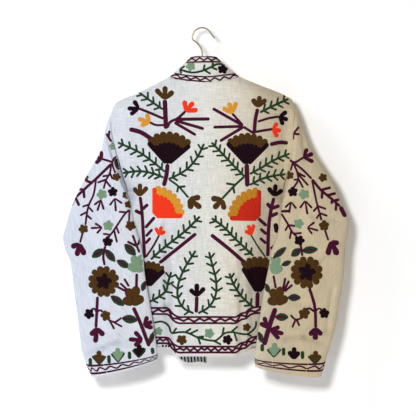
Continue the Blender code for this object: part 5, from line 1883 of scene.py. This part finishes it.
class JACKET_OT_hook(bpy.types.Operator):
    """Makes the hanger's wire hook, round and with a domed free end"""

    bl_idname = "jacket.hook"
    bl_label = "Hanger hook"

    def execute(self, context):
        wire = bpy.data.curves.new("hook_wire", "CURVE")
        wire.dimensions = "3D"
        wire.bevel_depth = WIRE_RADIUS
        wire.bevel_resolution = HOOK_SIDES
        wire.use_fill_caps = True
        spline = wire.splines.new("POLY")
        places, radii = hook_line()
        spline.points.add(len(places) - 1)
        for point, (x, z), radius in zip(spline.points, places, radii):
            point.co = (x, 0.0, z, 1.0)
            point.radius = radius
        wire.materials.append(brushed_wire(sizes().wire))
        made = placed("hook_wire", wire)
        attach(made, BODY)
        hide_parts("hanger_hook")
        return {"FINISHED"}


def hook_line():
    """Places along the wire's middle and its share of the full radius there."""
    centre_z = WIRE_RADIUS - HOOK_RADIUS
    first, last, step = HOOK_ARC
    knots = [(x * MM, z * MM) for x, z in HOOK_STEM]
    for degrees in range(first, last + step, step):
        angle = math.radians(degrees)
        knots.append((HOOK_RADIUS * math.cos(angle), centre_z + HOOK_RADIUS * math.sin(angle)))
    knots += [(x * MM, z * MM) for x, z in HOOK_END]
    path = Path(knots)
    along = np.linspace(0.0, path.length, HOOK_POINTS)
    dome = path.length - WIRE_RADIUS * (1 - np.sin(DOME_TURNS))
    radii = np.concatenate([np.ones(len(along)), np.cos(DOME_TURNS)])
    along = np.concatenate([along * (1 - WIRE_RADIUS / path.length), dome])
    return path.at(along), radii


class JACKET_OT_bar(bpy.types.Operator):
    """Rounds the edges of the hanger's bar"""

    bl_idname = "jacket.bar"
    bl_label = "Hanger bar"

    def execute(self, context):
        made = frame["nodes"]["hanger_bar"].copy()
        made.data = made.data.copy()
        made.name = "bar_wood"
        bpy.context.scene.collection.objects.link(made)
        made.data.materials.clear()
        made.data.materials.append(plain_wood(sizes().wood))
        weld = made.modifiers.new("weld", "WELD")
        weld.merge_threshold = BAR_WELD
        rounding = made.modifiers.new("rounded edges", "BEVEL")
        rounding.width = BAR_ROUNDING
        rounding.segments = BAR_ROUNDING_STEPS
        rounding.limit_method = "ANGLE"
        rounding.angle_limit = SHARP_EDGE
        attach(made, BODY)
        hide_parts("hanger_bar")
        return {"FINISHED"}


class JACKET_OT_embroidery(bpy.types.Operator):
    """Works the chain-stitched designs and borders on every panel"""

    bl_idname = "jacket.embroidery"
    bl_label = "Embroidery"

    def execute(self, context):
        finishes = threads()
        height = sizes().stitch_height
        back = Gathered()
        chart = Chart(seed=11)
        for design in (BACK_LEFT_TREE, BACK_RIGHT_TREE, BACK_MIDDLE):
            chart.work(design)
        near_back = RayGround(cloth("back_cloth"))
        chart.lay_on(near_back, back, height)
        hem = chart_in_mm(seed=12)
        hem_borders(hem, back_hem_z, SIDES[-1][1] + HEM_END_GAP, SIDES[-1][2] - HEM_END_GAP)
        hem.lay_on(near_back, back, height)
        back.build("embroidery_back", finishes)

        fronts = Gathered()
        halves = (
            (True, BACK_LEFT_TREE, LEFT_FRONT_SHIFT),
            (False, BACK_RIGHT_TREE, RIGHT_FRONT_SHIFT),
        )
        for left, tree, shift in halves:
            ground = RayGround(cloth("front_left_cloth" if left else "front_right_cloth"), near=False)
            chart = Chart(seed=13)
            chart.work(tree, shift)
            chart.lay_on(ground, fronts, height)
            hem = chart_in_mm(seed=14)
            side = SIDES[-1][1 if left else 2]
            seam = band_seam_x(BACK_HEM_Z, left) / MM
            hem_borders(hem, functools.partial(front_hem_z, left=left), seam, side)
            hem.lay_on(ground, fronts, height)
        fronts.build("embroidery_fronts", finishes)

        for name, design, left in zip(SLEEVES, (LEFT_SLEEVE_DESIGN, RIGHT_SLEEVE_DESIGN), (True, False)):
            arm = Gathered()
            piece = cloth(name)
            chart = Chart(seed=15)
            chart.work(design)
            for near in (True, False):
                chart.lay_on(RayGround(piece, near), arm, height)
            border, ground = cuff_border(piece, left)
            border.lay_on(ground, arm, height)
            arm.build("embroidery_" + name.removesuffix("_cloth"), finishes)

        neck = Gathered()
        chart = Chart(seed=16)
        chart.work(COLLAR_DESIGN)
        chart.lay_on(RayGround(cloth("collar_cloth")), neck, height)
        neck.build("embroidery_collar", finishes)

        edges = Gathered()
        for name in BANDS[1:]:
            band_design().lay_on(SurfaceGround(cloth(name), BAND_WIDTH * MM), edges, height)
        edges.build("embroidery_bands", finishes)
        return {"FINISHED"}


def plane(name, corners, finish):
    mesh = bpy.data.meshes.new(name)
    mesh.from_pydata(corners, [], [(0, 1, 2, 3)])
    mesh.materials.append(finish)
    return placed(name, mesh)


def soft_light(name, setting, power):
    """A square light that faces the jacket. Turn 0 is straight behind the viewer, and 90 to the left."""
    turn, lift, size = setting
    data = bpy.data.lights.new(name, "AREA")
    data.shape = "SQUARE"
    data.size = size
    data.energy = power
    made = placed(name, data)
    turn, lift = math.radians(turn), math.radians(lift)
    way = Vector((-math.sin(turn) * math.cos(lift), -math.cos(turn) * math.cos(lift), math.sin(lift)))
    made.location = Vector(LIGHT_AIM) + way * LIGHT_DISTANCE
    made.rotation_euler = way.to_track_quat("Z", "Y").to_euler()
    made.visible_camera = False
    return made


class JACKET_OT_stage(bpy.types.Operator):
    """Sets the camera, the soft lights, the pale floor and the pale wall behind the jacket"""

    bl_idname = "jacket.stage"
    bl_label = "Stage"

    def execute(self, context):
        scene = bpy.context.scene
        white = (*sizes().stage_white, 1.0)
        reach, low, back = STAGE_SPREAD, FLOOR_Z, WALL_Y
        finish = new_finish("stage_white", STAGE_ROUGHNESS, Base_Color=white)[0]
        corners = [(-reach, -reach, low), (reach, -reach, low), (reach, reach, low), (-reach, reach, low)]
        floor = plane("stage_floor", corners, finish)
        backing, w, shader = new_finish("stage_wall", STAGE_ROUGHNESS, Base_Color=white)
        clear = w.node("ShaderNodeBsdfTransparent")
        behind = w.node("ShaderNodeNewGeometry").outputs["Backfacing"]
        shadow = w.node("ShaderNodeLightPath").outputs["Is Shadow Ray"]
        mix = w.node("ShaderNodeMixShader", {0: w.math("MAXIMUM", behind, shadow)})
        w.join(shader.outputs[0], mix.inputs[1])
        w.join(clear.outputs[0], mix.inputs[2])
        w.join(mix.outputs[0], w.tree.nodes["Material Output"].inputs["Surface"])
        corners = [(-reach, back, low), (reach, back, low), (reach, back, reach), (-reach, back, reach)]
        wall = plane("stage_backdrop", corners, backing)
        fill = sizes().fill_power
        key = soft_light("key_light", KEY_LIGHT, sizes().key_power)
        side = soft_light("side_light", SIDE_LIGHT, sizes().side_power)
        left = soft_light("front_light_left", FRONT_LIGHT_LEFT, fill)
        right = soft_light("front_light_right", FRONT_LIGHT_RIGHT, fill * FRONT_RIGHT_SHARE)

        world = bpy.data.worlds.new("even_surround")
        world.use_nodes = True
        surround = world.node_tree.nodes["Background"]
        surround.inputs["Color"].default_value = (1.0, 1.0, 1.0, 1.0)
        surround.inputs["Strength"].default_value = sizes().sky
        scene.world = world
        scene.view_settings.view_transform = "Standard"

        lens = bpy.data.cameras.new("camera")
        lens.lens = LENS
        lens.sensor_width = FILM
        camera = placed("camera", lens)
        camera.location = CAMERA_PLACE
        camera.rotation_euler = (math.pi / 2, 0.0, 0.0)
        scene.camera = camera
        return {"FINISHED"}


class JACKET_PT_sidebar(bpy.types.Panel):
    """Lists the jacket's operators and settings"""

    bl_idname = "JACKET_PT_sidebar"
    bl_label = "Suzani Jacket"
    bl_space_type = "VIEW_3D"
    bl_region_type = "UI"
    bl_category = "Suzani Jacket"

    def draw(self, context):
        for operator in OPERATORS:
            self.layout.operator(operator.bl_idname)
        for settings in (context.scene.jacket_sizes, context.scene.jacket_threads):
            for name in type(settings).__annotations__:
                self.layout.prop(settings, name)


OPERATORS = (
    JACKET_OT_panels,
    JACKET_OT_sleeves,
    JACKET_OT_bands,
    JACKET_OT_facing,
    JACKET_OT_hook,
    JACKET_OT_bar,
    JACKET_OT_embroidery,
    JACKET_OT_stage,
)
CLASSES = (JacketThreads, JacketSizes, *OPERATORS, JACKET_PT_sidebar)


def register():
    for item in CLASSES:
        bpy.utils.register_class(item)
    bpy.types.Scene.jacket_threads = bpy.props.PointerProperty(type=JacketThreads)
    bpy.types.Scene.jacket_sizes = bpy.props.PointerProperty(type=JacketSizes)


def unregister():
    del bpy.types.Scene.jacket_sizes
    del bpy.types.Scene.jacket_threads
    for item in reversed(CLASSES):
        bpy.utils.unregister_class(item)


def main():
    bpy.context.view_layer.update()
    register()
    bpy.ops.jacket.panels()
    bpy.ops.jacket.sleeves()
    bpy.ops.jacket.bands()
    bpy.ops.jacket.facing()
    bpy.ops.jacket.hook()
    bpy.ops.jacket.bar()
    bpy.ops.jacket.embroidery()
    bpy.ops.jacket.stage()


if __name__ == "__main__":
    main()
